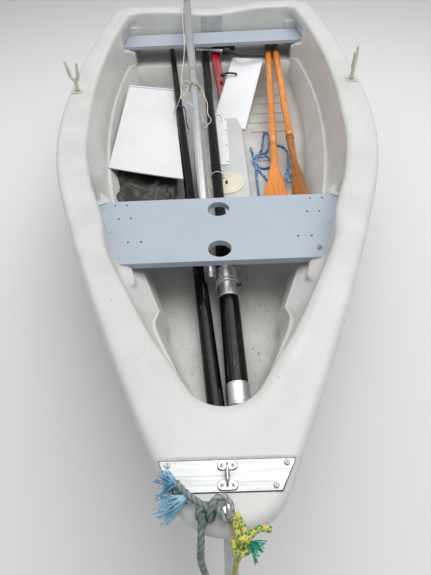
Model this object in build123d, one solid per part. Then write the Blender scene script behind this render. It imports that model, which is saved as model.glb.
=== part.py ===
from build123d import *
import math
import os

# Small open sailing dinghy of moulded plastic, its rig and oars stowed inside, on a launching trolley.
# Millimetres. x runs forward from the transom, y to port, z up from the ground.

# How far cutting solids run past what they cut
OVERCUT = 60.0

# Heights
RIM_Z = 730.0
KEEL_Z = 280.0
SHEER_BOW_RISE = 70.0
SHEER_STERN_RISE = 30.0
SHEER_LOW_X = 1300.0
SHEER_BOW_X = 3100.0
DECK_TOP_Z = RIM_Z + 90.0

# Stations that every waterline shares
MID_X = 1250.0
SHOULDER_X = 1920.0

# Gunwale lip, measured at the rim
RIM_OUTLINE = dict(stern_x=-62.0, stern_half=640.0, mid_half=728.0, shoulder_half=598.0,
                   tip_x=3097.0, bow_r=145.0, corner_r=90.0, entry=0.5)
LIP_DEPTH = 48.0

# Hull body below the lip, top to keel
BODY_TOP = dict(stern_x=-38.0, stern_half=618.0, mid_half=706.0, shoulder_half=576.0,
                tip_x=3072.0, bow_r=132.0, corner_r=80.0, entry=0.5)
BODY_SIDE = dict(stern_x=-26.0, stern_half=600.0, mid_half=688.0, shoulder_half=552.0,
                 tip_x=3030.0, bow_r=115.0, corner_r=75.0, entry=0.49)
BODY_CHINE = dict(stern_x=0.0, stern_half=545.0, mid_half=622.0, shoulder_half=470.0,
                  tip_x=2890.0, bow_r=90.0, corner_r=70.0, entry=0.46)
BODY_BILGE = dict(stern_x=24.0, stern_half=425.0, mid_half=480.0, shoulder_half=335.0,
                  tip_x=2730.0, bow_r=70.0, corner_r=60.0, entry=0.42)
BODY_KEEL = dict(stern_x=50.0, stern_half=60.0, mid_half=62.0, shoulder_half=60.0,
                 tip_x=2430.0, bow_r=48.0, corner_r=20.0, entry=0.05)
BODY_SIDE_Z = 600.0
CHINE_Z = 390.0
BILGE_Z = 325.0

# Cockpit: opening at the deck, ledge part way down, floor
COCKPIT_TOP = dict(stern_x=28.0, stern_half=548.0, mid_half=612.0, shoulder_half=474.0,
                   tip_x=2835.0, bow_r=110.0, corner_r=60.0, entry=0.6)
COCKPIT_LEDGE = dict(stern_x=62.0, stern_half=522.0, mid_half=556.0, shoulder_half=418.0,
                     tip_x=2768.0, bow_r=90.0, corner_r=60.0, entry=0.55)
COCKPIT_LOWER = dict(stern_x=78.0, stern_half=506.0, mid_half=540.0, shoulder_half=400.0,
                     tip_x=2758.0, bow_r=88.0, corner_r=60.0, entry=0.52)
COCKPIT_FLOOR = dict(stern_x=92.0, stern_half=478.0, mid_half=466.0, shoulder_half=340.0,
                     tip_x=2738.0, bow_r=84.0, corner_r=60.0, entry=0.48)
LEDGE_Z = RIM_Z - 200.0
FLOOR_Z = RIM_Z - 360.0
AFT_STEP_X = 300.0
AFT_STEP_Z = RIM_Z - 215.0
TRANSOM_DIP = 28.0
TRANSOM_DIP_HALF = 360.0
TRANSOM_IN_X = 130.0

# Bottom runners that the trolley bunks carry
RUNNER_Y = 330.0
RUNNER_WIDTH = 60.0
RUNNER_Z = 300.0
RUNNER_AFT_X = 130.0
RUNNER_FWD_X = 2050.0
RUNNER_FWD_RUN = 160.0
RUNNER_RISE = 70.0
KEEL_STRIP_WIDTH = 50.0
KEEL_STRIP_THICK = 8.0
KEEL_STRIP_AFT_X = 90.0
KEEL_STRIP_FWD_X = 2380.0

# Thwarts
THWART_TOP_Z = RIM_Z - 140.0
THWART_THICK = 25.0
THWART_AFT_X = 1810.0
THWART_FWD_X = 2190.0
THWART_AFT_HALF = 500.0
THWART_FWD_HALF = 375.0
THWART_CORNER_R = 18.0
THWART_GAP = 1.5
MAST_HOLE_R = 44.0
MAST_HOLE_AFT_X = 1874.0
MAST_HOLE_FWD_X = 2120.0
THWART_LIP_DEPTH = 22.0
THWART_LIP_THICK = 14.0
THWART_LIP_CLEAR = 8.0
POD_DEPTH = 75.0
POD_OVERHANG = 45.0
POD_EAR_RISE = 8.0
AFT_THWART_TOP_Z = RIM_Z - 100.0
AFT_THWART_THICK = 20.0
AFT_THWART_AFT_X = 72.0
AFT_THWART_FWD_X = 262.0
AFT_THWART_AFT_HALF = 545.0
AFT_THWART_FWD_HALF = 562.0
AFT_SHELF_DEPTH = 95.0
AFT_SHELF_FWD_X = 345.0

# Daggerboard case, its cap and the round hatch
CASE_AFT_X = 848.0
CASE_FWD_X = 1740.0
CASE_PORT_Y = 145.0
CASE_STARBOARD_Y = -98.0
CASE_HEIGHT = 65.0
CASE_CHAMFER = 8.0
SLOT_AFT_X = 930.0
SLOT_LENGTH = 330.0
SLOT_WIDTH = 34.0
CAP_AFT_X = 860.0
CAP_FWD_X = 1335.0
CAP_HALF = 52.0
CAP_THICK = 6.0
CAP_Y = 12.0
CAP_CORNER_R = 12.0
LID_X = 1486.0
LID_Y = 42.0
LID_R = 90.0
LID_THICK = 6.0
LID_SLOT_LENGTH = 34.0
LID_SLOT_WIDTH = 12.0
LID_SLOT_DEPTH = 3.0
LID_CHAMFER = 2.0

# Bow fittings
PLATE_AFT_X = 2954.0
PLATE_FWD_X = 3017.5
PLATE_AFT_HALF = 146.0
PLATE_FWD_HALF = 110.0
PLATE_THICK = 3.0
PLATE_CORNER_R = 3.0
PLATE_STEP = 3.1
PLATE_RECESS_GAP = 3.0
LOOP_FOOT_SPACING = 40.0
LOOP_FOOT_R = 11.0
LOOP_FOOT_THICK = 4.0
LOOP_ROD_R = 3.0
LOOP_RISE = 14.0
EYE_X = 3058.0
EYE_ROD_R = 5.0
EYE_RING_R = 17.0
EYE_WASHER_R = 15.0
EYE_WASHER_THICK = 3.0

# Rowlocks and their sockets
ROWLOCK_X = 1080.0
ROWLOCK_Y = 684.0
SOCKET_PLATE = 52.0
SOCKET_PLATE_THICK = 5.0
SOCKET_BARREL_R = 11.0
SOCKET_DEPTH = 44.0
PIN_R = 6.0
PIN_RUNNING_GAP = 0.05
PIN_LENGTH = 38.0
ROWLOCK_NECK = 52.0
ROWLOCK_NECK_R = 9.0
HORN_R = 6.5
HORN_CROOK_R = 24.0
HORN_LENGTH = 74.0
ROWLOCK_LIFT = 0.3
ROWLOCK_PORT_TURN = 66.0
ROWLOCK_STARBOARD_TURN = -25.0

# Transom fittings
PAD_INSIDE_WIDTH = 132.0
PAD_INSIDE_HEIGHT = 92.0
PAD_INSIDE_THICK = 4.0
PAD_OUTSIDE_WIDTH = 240.0
PAD_OUTSIDE_HEIGHT = 130.0
PAD_OUTSIDE_THICK = 20.0
PAD_TOP_DROP = 16.0
GUDGEON_LOW_Z = 395.0
GUDGEON_PAD_GAP = 11.0
GUDGEON_BORE_R = 5.2
GUDGEON_EYE_R = 11.0
GUDGEON_HEIGHT = 16.0
GUDGEON_LIP_GAP = 3.8
GUDGEON_AXIS_X = RIM_OUTLINE["stern_x"] - GUDGEON_BORE_R - GUDGEON_LIP_GAP
GUDGEON_FOOT_HALF = 45.0
GUDGEON_FOOT_THICK = 4.0
DRAIN_Y = -130.0
DRAIN_Z = 412.0
DRAIN_R = 17.0
DRAIN_THICK = 7.0

# Stowed spars: each axis is a straight line given by its two ends
MAST_UP_FWD = (2700.0, -26.0, FLOOR_Z + 30.0)
MAST_UP_AFT = (120.0, -274.0, AFT_STEP_Z + 28.5)
MAST_UP_FWD_R = 29.5
MAST_UP_AFT_R = 17.0
MAST_LOW_FWD = (2655.0, 44.5, FLOOR_Z + 41.0)
MAST_LOW_AFT = (200.0, -53.5, AFT_STEP_Z + 31.0)
MAST_LOW_R = 25.0
MAST_FOOT_R = 38.5
MAST_FOOT_LENGTH = 700.0
FOOT_CAP_R = 40.5
FOOT_CAP_LENGTH = 76.0
COLLAR_R = 42.0
COLLAR_START = 430.0
COLLAR_LENGTH = 140.0
BOOM_FWD = (2150.0, -41.0, RIM_Z - 264.0)
BOOM_AFT = (-48.0, -160.0, RIM_Z + 43.0)
BOOM_R = 23.0
BOOM_WALL = 2.5
BOOM_CAP_LENGTH = 26.0

# Foils and steering gear
FOIL_AFT = (272.0, 226.0)
FOIL_FWD = (825.0, 86.0)
FOIL_SLOPE = 0.2825
FOIL_WIDTH = 205.0
FOIL_THICK = 18.0
FOIL_TIP_R = 14.0
BLADE_AFT = (225.0, 12.0)
BLADE_FWD = (600.0, 60.0)
BLADE_WIDTH = 56.0
BLADE_THICK = 12.0
BLADE_TIP_R = 20.0
BLADE_STEP_GAP = 4.0
TILLER_START = (201.0, -121.0)
TILLER_END = (275.0, 104.0)
TILLER_R = 11.5
TILLER_SEAT = 0.25
JOINT_END = (342.0, 176.0)
JOINT_R = 11.5
JOINT_START = 5.2
EXTENSION_END = (316.0, 328.0)
EXTENSION_R = 9.0
EXTENSION_DROP = 20.0
HEAD_LENGTH = 150.0
HEAD_DEPTH = 34.0
HEAD_HEIGHT = 30.0
HEAD_SHARE = 0.8
HEAD_RISE = 3.0

# Oars
OAR_INNER = ((105.0, 391.0), (1800.0, 267.0))
OAR_OUTER = ((112.0, 430.0), (1800.0, 378.0))
OAR_AFT_Z = AFT_STEP_Z + 37.3
OAR_TIP_GAP = 0.5
OAR_SHAFT_R = 17.0
OAR_GRIP_R = 14.5
OAR_GRIP_LENGTH = 130.0
OAR_BLADE_LENGTH = 620.0
OAR_BLADE_HALF = 61.0
OAR_BLADE_THICK = 12.0
OAR_TIP_CUT = 14.0
OAR_ROOT_STEP = 4.0
OAR_OUTER_ROLL = -66.0

# Stowed locker board and sail bag, starboard side
LOCKER_BOARD = ((608.0, -516.0), (1465.0, -521.0), (1510.0, -182.0), (612.0, -262.0))
LOCKER_THICK = 8.0
LOCKER_HEEL = 7.2
LOCKER_GAP = 1.2
BAG_AFT_X = 980.0
BAG_FWD_X = 1730.0
BAG_OUT_Y = -374.0
BAG_IN_Y = -202.0
BAG_HEIGHT = 126.0
BAG_ROUND = 48.0

# Painters
GREY_D = 14.0
YELLOW_D = 13.0
KNOT_GAP = 0.4
KNOT_R = 16.0
YELLOW_LOOP_R = 13.0
TIE_SPACING = 60.0
GREY_KNOT = ((3050.0, -24.0), (3069.6, -51.4))
GREY_TAIL = ((3054.0, -40.0), (3030.0, -140.0))
GREY_TAIL_DROP = 3.0
GREY_FRAY_R = 15.0
YELLOW_LOOP_X = 3068.0
YELLOW_KNOT = (3114.0, 22.0)
YELLOW_KNOT_RISE = 13.0
YELLOW_TAIL = ((3108.0, 26.0), (3086.0, 78.0))
YELLOW_TAIL_RISE = 2.0

# Trolley
TYRE_R = 200.0
TYRE_WIDTH = 90.0
WHEEL_RIM_R = 112.0
HUB_R = 32.0
WHEEL_X = 1150.0
WHEEL_Y = 735.0
AXLE_R = 12.0
AXLE_RUNNING_GAP = 0.05
BEAM = 40.0
BEAM_WALL = 3.0
AXLE_BEAM_HALF = 660.0
DRAWBAR_AFT_X = 980.0
DRAWBAR_FWD_X = 3430.0
DRAWBAR_Z = 222.0
CROSS_X = 1900.0
CROSS_HALF = 380.0
BUNK_AFT_X = 330.0
BUNK_FWD_X = 1990.0
BUNK_WIDTH = 55.0
BUNK_PAD_THICK = 10.0
KEEL_REST_X = 2260.0
KEEL_REST_LENGTH = 130.0
LEG_X = 3300.0
LEG_R = 20.0
LEG_FOOT_R = 55.0
HANDLE_R = 15.0
HANDLE_HALF = 230.0

# The model's origin is midway between the rudder gudgeons' aft side and the trolley handle's front
FRAME_X = (GUDGEON_AXIS_X - GUDGEON_EYE_R + DRAWBAR_FWD_X + 2 * HANDLE_R) / 2
SEAT_GAP = 0.3


def save(node, shape):
    """Writes one node, moved to the model's origin."""
    placed = Pos(-FRAME_X, 0, 0) * shape
    export_step(placed, f"parts/{node}.step")


def arc_step(start, heading, end):
    """Middle point and leaving heading of the arc from start, along heading, to end."""
    chord = (end[0] - start[0], end[1] - start[1])
    length = math.hypot(*chord)
    turn = math.atan2(chord[1], chord[0]) - heading
    sagitta = length / 2 * math.tan(turn / 2)
    nx, ny = chord[1] / length, -chord[0] / length
    mid = (start[0] + chord[0] / 2 + nx * sagitta, start[1] + chord[1] / 2 + ny * sagitta)
    return mid, heading + 2 * turn


def waterline(z, outline):
    """Closed outline at one height: a stern line, tangent side arcs and a round bow."""
    slope = outline["entry"]
    entry = math.pi / 2 - math.atan(slope)
    bow = (outline["tip_x"] - outline["bow_r"] * (1 - math.cos(entry)), outline["bow_r"] * math.sin(entry))
    stern_side = (outline["stern_x"] + outline["corner_r"], outline["stern_half"])
    stern_end = (outline["stern_x"], outline["stern_half"] - outline["corner_r"])
    stops = [(SHOULDER_X, outline["shoulder_half"]), (MID_X, outline["mid_half"]), stern_side, stern_end]
    heading = math.pi - math.atan(slope)
    here = bow
    port = []
    for stop in stops:
        mid, heading = arc_step(here, heading, stop)
        port.append((here, mid, stop))
        here = stop
    edges = [ThreePointArc((bow[0], -bow[1], z), (outline["tip_x"], 0, z), (bow[0], bow[1], z))]
    for a, m, b in port:
        edges.append(ThreePointArc((a[0], a[1], z), (m[0], m[1], z), (b[0], b[1], z)))
    edges.append(Line((stern_end[0], stern_end[1], z), (stern_end[0], -stern_end[1], z)))
    for a, m, b in reversed(port):
        edges.append(ThreePointArc((b[0], -b[1], z), (m[0], -m[1], z), (a[0], -a[1], z)))
    return Wire([e.edge() for e in edges])


def loft_between(levels, ruled=False):
    """Solid through (height, outline) levels."""
    return Solid.make_loft([waterline(z, outline) for z, outline in levels], ruled)


def sheer_profile(drop, top):
    """Side view region from the sheer line, lowered by drop, up to a height."""
    low = RIM_Z - drop
    aft_x, fwd_x = RIM_OUTLINE["stern_x"] - OVERCUT, SHEER_BOW_X + OVERCUT
    aft_rise = SHEER_STERN_RISE * ((SHEER_LOW_X - aft_x) / SHEER_LOW_X) ** 2
    fwd_span = SHEER_BOW_X - SHEER_LOW_X
    fwd_rise = SHEER_BOW_RISE * ((fwd_x - SHEER_LOW_X) / fwd_span) ** 2
    aft_mid = (aft_x + SHEER_LOW_X) / 2
    fwd_mid = (fwd_x + SHEER_LOW_X) / 2
    arcs = [
        ThreePointArc((aft_x, 0, low + aft_rise), (aft_mid, 0, low + aft_rise / 4), (SHEER_LOW_X, 0, low)),
        ThreePointArc((SHEER_LOW_X, 0, low), (fwd_mid, 0, low + fwd_rise / 4), (fwd_x, 0, low + fwd_rise)),
        Line((fwd_x, 0, low + fwd_rise), (fwd_x, 0, top)),
        Line((fwd_x, 0, top), (aft_x, 0, top)),
        Line((aft_x, 0, top), (aft_x, 0, low + aft_rise)),
    ]
    return Face(Wire([a.edge() for a in arcs]))


def across(face, half=1000.0):
    """Extrudes an XZ face both ways along y."""
    return extrude(face, amount=half, dir=(0, 1, 0), both=True)


def sheer_height(x):
    """Rim height at a station, on the same arcs as the sheer profile."""
    rise, reach = (SHEER_BOW_RISE, SHEER_BOW_X - SHEER_LOW_X) if x > SHEER_LOW_X else (
        SHEER_STERN_RISE, SHEER_LOW_X)
    return RIM_Z + rise * ((x - SHEER_LOW_X) / reach) ** 2


def block(x0, x1, y0, y1, z0, z1):
    """Box between two corners."""
    return Pos((x0 + x1) / 2, (y0 + y1) / 2, (z0 + z1) / 2) * Box(x1 - x0, y1 - y0, z1 - z0)


def trapezium(aft_x, fwd_x, aft_half, fwd_half, z0, thick, radius=0.0):
    """Plate symmetric about the centreline, wider at one end."""
    corners = [(aft_x, -aft_half), (fwd_x, -fwd_half), (fwd_x, fwd_half), (aft_x, aft_half)]
    face = make_face(Polyline(*corners, close=True))
    plate = extrude(face, amount=thick)
    if radius:
        plate = fillet(plate.edges().filter_by(Axis.Z), radius)
    return Pos(0, 0, z0) * plate


def between(p, q):
    """Location at p whose z axis points at q, and the distance."""
    a, b = Vector(*p), Vector(*q)
    return Location(Plane(origin=a, z_dir=b - a)), (b - a).length


def rod(p, q, radius, end_radius=None):
    """Round bar, or a taper, from p to q."""
    place, length = between(p, q)
    base = (Align.CENTER, Align.CENTER, Align.MIN)
    if end_radius is None or end_radius == radius:
        return place * Cylinder(radius, length, align=base)
    return place * Cone(radius, end_radius, length, align=base)


def along(p, q, distance):
    """Point at a distance from p towards q."""
    a, b = Vector(*p), Vector(*q)
    v = a + (b - a).normalized() * distance
    return (v.X, v.Y, v.Z)


def thwart_footprint(grow, z0, height):
    """Centre thwart's plan, grown by a gap, as a solid between two heights."""
    return trapezium(THWART_AFT_X - grow, THWART_FWD_X + grow, THWART_AFT_HALF + grow,
                     THWART_FWD_HALF + grow, z0, height, THWART_CORNER_R)


def aft_thwart_footprint(grow, z0, height):
    """Aft thwart's plan, grown by a gap, as a solid between two heights."""
    return trapezium(AFT_THWART_AFT_X - grow, AFT_THWART_FWD_X + grow, AFT_THWART_AFT_HALF + grow,
                     AFT_THWART_FWD_HALF + grow, z0, height)


def pods():
    """Moulded blocks that carry both ends of the centre thwart."""
    side = []
    slope = (THWART_FWD_HALF - THWART_AFT_HALF) / (THWART_FWD_X - THWART_AFT_X)
    x0, x1 = THWART_AFT_X - POD_OVERHANG, THWART_FWD_X + POD_OVERHANG
    y0 = THWART_AFT_HALF + slope * (x0 - THWART_AFT_X) - POD_DEPTH
    y1 = THWART_AFT_HALF + slope * (x1 - THWART_AFT_X) - POD_DEPTH
    for s in (1, -1):
        out = s * COCKPIT_TOP["mid_half"]
        plan = Polyline((x0, s * y0), (x1, s * y1), (x1, out), (x0, out), close=True)
        body = extrude(make_face(plan), amount=THWART_TOP_Z + POD_EAR_RISE - FLOOR_Z + OVERCUT)
        side.append(Pos(0, 0, FLOOR_Z - OVERCUT) * body)
    return side


def aft_shelves():
    """Moulded shelves that carry the ends of the aft thwart."""
    under = AFT_THWART_TOP_Z - AFT_THWART_THICK
    inner = AFT_THWART_FWD_HALF - AFT_SHELF_DEPTH
    outer = RIM_OUTLINE["stern_half"]
    shelves = []
    for y0, y1 in ((inner, outer), (-outer, -inner)):
        shelves.append(block(RIM_OUTLINE["stern_x"], AFT_SHELF_FWD_X, y0, y1, FLOOR_Z - OVERCUT, under))
    return shelves


def runners():
    """Flat bottomed runners either side of the keel."""
    out = []
    for s in (1, -1):
        profile = Polyline((RUNNER_AFT_X, RUNNER_Z), (RUNNER_FWD_X, RUNNER_Z),
                           (RUNNER_FWD_X + RUNNER_FWD_RUN, RUNNER_Z + RUNNER_RISE),
                           (RUNNER_AFT_X, RUNNER_Z + RUNNER_RISE), close=True)
        face = Plane.XZ * make_face(profile)
        out.append(Pos(0, s * RUNNER_Y, 0) * extrude(face, amount=RUNNER_WIDTH / 2, both=True))
    return out


def slot_cutter():
    """Round ended slot for the daggerboard, through case and hull."""
    straight = SLOT_LENGTH - SLOT_WIDTH
    plan = SlotCenterToCenter(straight, SLOT_WIDTH)
    cutter = extrude(plan, amount=FLOOR_Z - KEEL_Z + CASE_HEIGHT + 2 * OVERCUT)
    return Pos(SLOT_AFT_X + SLOT_LENGTH / 2, 0, KEEL_Z - OVERCUT) * cutter


def hull():
    """One moulding: side and bottom skins with foam between, deck, rim, cockpit and thwart seats."""
    topsides = loft_between([(DECK_TOP_Z, BODY_TOP), (BODY_SIDE_Z, BODY_SIDE), (CHINE_Z, BODY_CHINE)])
    bottom = loft_between([(CHINE_Z, BODY_CHINE), (BILGE_Z, BODY_BILGE), (KEEL_Z, BODY_KEEL)], True)
    body = topsides + bottom
    for runner in runners():
        body = body + runner
    body = body - across(sheer_profile(0.0, DECK_TOP_Z + OVERCUT))
    lip_low = RIM_Z - LIP_DEPTH - OVERCUT
    lip = Solid.extrude(Face(waterline(lip_low, RIM_OUTLINE)), Vector(0, 0, DECK_TOP_Z + OVERCUT - lip_low))
    band = across(sheer_profile(LIP_DEPTH, DECK_TOP_Z + OVERCUT))
    band = band - across(sheer_profile(0.0, DECK_TOP_Z + OVERCUT))
    body = body + (lip & band)
    upper = loft_between([(DECK_TOP_Z, COCKPIT_TOP), (LEDGE_Z, COCKPIT_LEDGE)], True)
    lower = loft_between([(LEDGE_Z, COCKPIT_LOWER), (FLOOR_Z, COCKPIT_FLOOR)], True)
    cavity = upper + lower
    wide = RIM_OUTLINE["mid_half"]
    cavity = cavity - block(RIM_OUTLINE["stern_x"], AFT_STEP_X, -wide, wide, FLOOR_Z - OVERCUT, AFT_STEP_Z)
    for filler in pods() + aft_shelves():
        cavity = cavity - filler
    cavity = cavity + thwart_footprint(THWART_GAP, THWART_TOP_Z - THWART_THICK, DECK_TOP_Z - THWART_TOP_Z)
    cavity = cavity + aft_thwart_footprint(THWART_GAP, AFT_THWART_TOP_Z - AFT_THWART_THICK,
                                            RIM_Z - AFT_THWART_TOP_Z)
    body = body - cavity - slot_cutter()
    dip_r = (TRANSOM_DIP_HALF ** 2 + TRANSOM_DIP ** 2) / (2 * TRANSOM_DIP)
    rim_aft = sheer_height(0.0)
    dip = Pos(0, 0, rim_aft - TRANSOM_DIP + dip_r) * Rot(0, 90, 0) * Cylinder(dip_r, 2 * TRANSOM_IN_X)
    body = body - dip
    recess = trapezium(PLATE_AFT_X - PLATE_RECESS_GAP, SHEER_BOW_X + OVERCUT, PLATE_AFT_HALF + OVERCUT,
                       PLATE_AFT_HALF + OVERCUT, deck_z(), OVERCUT)
    body = body - recess
    for s in (1, -1):
        body = body - Pos(ROWLOCK_X, s * ROWLOCK_Y, RIM_Z) * Cylinder(
            SOCKET_BARREL_R + SEAT_GAP, 2 * (SOCKET_DEPTH + SEAT_GAP))
    return body


def deck_z():
    """Height of the flat foredeck step that the bow plate lies on."""
    return sheer_height(PLATE_AFT_X) - PLATE_STEP


def centre_thwart():
    """Broad centre thwart with two mast holes and a downturned front edge."""
    z0 = THWART_TOP_Z - THWART_THICK
    seat = thwart_footprint(0.0, z0, THWART_THICK)
    for x in (MAST_HOLE_AFT_X, MAST_HOLE_FWD_X):
        seat = seat - Pos(x, 0, z0) * Cylinder(MAST_HOLE_R, 4 * THWART_THICK)
    lip_half = THWART_FWD_HALF - POD_DEPTH - THWART_LIP_CLEAR
    lip = block(THWART_FWD_X - THWART_LIP_THICK, THWART_FWD_X, -lip_half, lip_half, z0 - THWART_LIP_DEPTH, z0)
    return seat + lip


def daggerboard_case():
    """Low moulded case round the daggerboard slot."""
    case = block(CASE_AFT_X, CASE_FWD_X, CASE_STARBOARD_Y, CASE_PORT_Y, FLOOR_Z, FLOOR_Z + CASE_HEIGHT)
    case = chamfer(case.faces().sort_by(Axis.Z)[-1].edges(), CASE_CHAMFER)
    return case - slot_cutter()


def round_lid():
    """Screw-in hatch lid with a finger slot."""
    lid = Cylinder(LID_R, LID_THICK, align=(Align.CENTER, Align.CENTER, Align.MIN))
    lid = chamfer(lid.faces().sort_by(Axis.Z)[-1].edges(), LID_CHAMFER)
    grip = extrude(SlotCenterToCenter(LID_SLOT_LENGTH - LID_SLOT_WIDTH, LID_SLOT_WIDTH), amount=20)
    lid = lid - Pos(-LID_R / 3, 0, LID_THICK - LID_SLOT_DEPTH) * grip
    return Pos(LID_X, LID_Y, FLOOR_Z + CASE_HEIGHT) * lid


def bow_plate():
    """Metal plate across the bow."""
    return trapezium(PLATE_AFT_X, PLATE_FWD_X, PLATE_AFT_HALF, PLATE_FWD_HALF, deck_z(),
                     PLATE_THICK, PLATE_CORNER_R)


def bow_deck_loop():
    """Low bridge fitting with a foot at each end, on the bow plate."""
    x0 = (PLATE_AFT_X + PLATE_FWD_X) / 2 - LOOP_FOOT_SPACING / 2
    z0 = deck_z() + PLATE_THICK
    feet = None
    for x in (x0, x0 + LOOP_FOOT_SPACING):
        foot = Pos(x, 0, z0) * extrude(SlotCenterToCenter(2 * LOOP_FOOT_R, 2 * LOOP_FOOT_R - 4, rotation=90),
                                       amount=LOOP_FOOT_THICK)
        feet = foot if feet is None else feet + foot
    top = z0 + LOOP_FOOT_THICK + LOOP_RISE
    low = z0 + 1
    path = FilletPolyline((x0, 0, low), (x0, 0, top), (x0 + LOOP_FOOT_SPACING, 0, top),
                          (x0 + LOOP_FOOT_SPACING, 0, low), radius=8)
    bridge = sweep(Plane(origin=path @ 0, z_dir=path % 0) * Circle(LOOP_ROD_R), path=path)
    return feet + bridge


def bow_eye():
    """Welded ring on a washer near the stem, which the painters are tied to."""
    z0 = deck_z()
    washer = Pos(EYE_X, 0, z0) * Cylinder(EYE_WASHER_R, EYE_WASHER_THICK,
                                          align=(Align.CENTER, Align.CENTER, Align.MIN))
    top = z0 + EYE_WASHER_THICK + 2 * EYE_RING_R + 6
    low = z0 + 1
    half = EYE_RING_R - EYE_ROD_R
    path = FilletPolyline((EYE_X - half, 0, low), (EYE_X - half, 0, top), (EYE_X + half, 0, top),
                          (EYE_X + half, 0, low), radius=half * 0.98)
    ring = sweep(Plane(origin=path @ 0, z_dir=path % 0) * Circle(EYE_ROD_R), path=path)
    return washer + ring


def rowlock_socket(s):
    """Square plate on the rim with a barrel let into the deck, bored for the rowlock pin."""
    plate = block(-SOCKET_PLATE / 2, SOCKET_PLATE / 2, -SOCKET_PLATE / 2, SOCKET_PLATE / 2,
                  0, SOCKET_PLATE_THICK)
    plate = fillet(plate.edges().filter_by(Axis.Z), 8)
    barrel = Cylinder(SOCKET_BARREL_R, SOCKET_DEPTH, align=(Align.CENTER, Align.CENTER, Align.MAX))
    bore = Cylinder(PIN_R + PIN_RUNNING_GAP, 4 * SOCKET_DEPTH)
    return Pos(ROWLOCK_X, s * ROWLOCK_Y, rowlock_seat_z()) * (plate + barrel - bore)


def rowlock_seat_z():
    """Height that the socket plates stand on: the rim's top at that station."""
    return sheer_height(ROWLOCK_X - SOCKET_PLATE / 2) + SEAT_GAP


def rowlock(s, turn):
    """Pin, neck and two-horned crook, swivelled about the pin."""
    base = (Align.CENTER, Align.CENTER, Align.MIN)
    pin = Pos(0, 0, -PIN_LENGTH) * Cylinder(PIN_R, PIN_LENGTH + 10, align=base)
    neck = Cylinder(ROWLOCK_NECK_R, ROWLOCK_NECK, align=base)
    low = ROWLOCK_NECK + HORN_R - 2
    top = low + HORN_LENGTH + HORN_CROOK_R
    path = FilletPolyline((0, -HORN_CROOK_R, top), (0, -HORN_CROOK_R, low), (0, HORN_CROOK_R, low),
                          (0, HORN_CROOK_R, top), radius=HORN_CROOK_R * 0.98)
    crook = sweep(Plane(origin=path @ 0, z_dir=path % 0) * Circle(HORN_R), path=path)
    whole = Rot(0, 0, turn) * (pin + neck + crook)
    return Pos(ROWLOCK_X, s * ROWLOCK_Y, rowlock_seat_z() + SOCKET_PLATE_THICK + ROWLOCK_LIFT) * whole


def transom_inner_pad():
    """Metal pad for a small outboard, lying on the transom's sloping inner face."""
    fall = COCKPIT_LEDGE["stern_x"] - COCKPIT_TOP["stern_x"]
    rise = DECK_TOP_Z - LEDGE_Z
    tilt = math.atan2(fall, rise)
    mid_z = sheer_height(0.0) - TRANSOM_DIP - PAD_TOP_DROP - PAD_INSIDE_HEIGHT / 2
    wall_x = COCKPIT_TOP["stern_x"] + fall * (DECK_TOP_Z - mid_z) / rise
    out = PAD_INSIDE_THICK / 2 + SEAT_GAP
    pad = Box(PAD_INSIDE_THICK, PAD_INSIDE_WIDTH, PAD_INSIDE_HEIGHT)
    return Pos(wall_x, 0, mid_z) * Rot(0, -math.degrees(tilt), 0) * Pos(out, 0, 0) * pad


def outer_pad_top():
    """Height of the outside pad's top edge, close under the gunwale lip."""
    return sheer_height(0.0) - LIP_DEPTH - SEAT_GAP


def transom_outer_pad(body):
    """Thicker pad under the gunwale lip, shaped to the transom's outer face."""
    raw = block(BODY_TOP["stern_x"] - PAD_OUTSIDE_THICK, 0, -PAD_OUTSIDE_WIDTH / 2, PAD_OUTSIDE_WIDTH / 2,
                outer_pad_top() - PAD_OUTSIDE_HEIGHT, outer_pad_top())
    return Pos(-SEAT_GAP, 0, 0) * outermost(raw - body)


def outermost(shape):
    """The aftmost of the solids that a cut leaves."""
    return shape.solids().sort_by(Axis.X)[0]


def gudgeons(body):
    """Two rudder gudgeons on one upright axis: a foot plate, an arm, an eye and its bore."""
    high_z = outer_pad_top() - PAD_OUTSIDE_HEIGHT - GUDGEON_PAD_GAP - GUDGEON_HEIGHT
    pieces = []
    for z in (GUDGEON_LOW_Z, high_z):
        top = z + GUDGEON_HEIGHT
        wall = transom_face_x(body, top) - GUDGEON_FOOT_THICK
        foot = block(wall, COCKPIT_TOP["stern_x"], -GUDGEON_FOOT_HALF, GUDGEON_FOOT_HALF, z, top)
        foot = Pos(-SEAT_GAP, 0, 0) * outermost(foot - body)
        arm = block(GUDGEON_AXIS_X, wall + GUDGEON_FOOT_THICK / 4, -GUDGEON_EYE_R, GUDGEON_EYE_R, z, top)
        eye = Pos(GUDGEON_AXIS_X, 0, z) * Cylinder(
            GUDGEON_EYE_R, GUDGEON_HEIGHT, align=(Align.CENTER, Align.CENTER, Align.MIN))
        bore = Pos(GUDGEON_AXIS_X, 0, z) * Cylinder(GUDGEON_BORE_R, 4 * GUDGEON_HEIGHT)
        pieces.append(foot + arm + eye - bore)
    return Compound(children=pieces)


def transom_face_x(body, z):
    """Aftmost x of the hull body on the centreline at one height."""
    probe = body & block(-4 * OVERCUT, 4 * OVERCUT, -1, 1, z - 0.5, z + 0.5)
    return probe.bounding_box().min.X


def drain_plug(body):
    """Round drain plug low in the transom, to starboard."""
    disc = Pos(-10, DRAIN_Y, DRAIN_Z) * Rot(0, 90, 0) * Cylinder(DRAIN_R, 60)
    wall = transom_face_x(body, DRAIN_Z)
    reach = 2 * DRAIN_R
    disc = disc & block(wall - DRAIN_THICK, 20, DRAIN_Y - reach, DRAIN_Y + reach,
                        DRAIN_Z - reach, DRAIN_Z + reach)
    return Pos(-SEAT_GAP, 0, 0) * outermost(disc - body)


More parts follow.
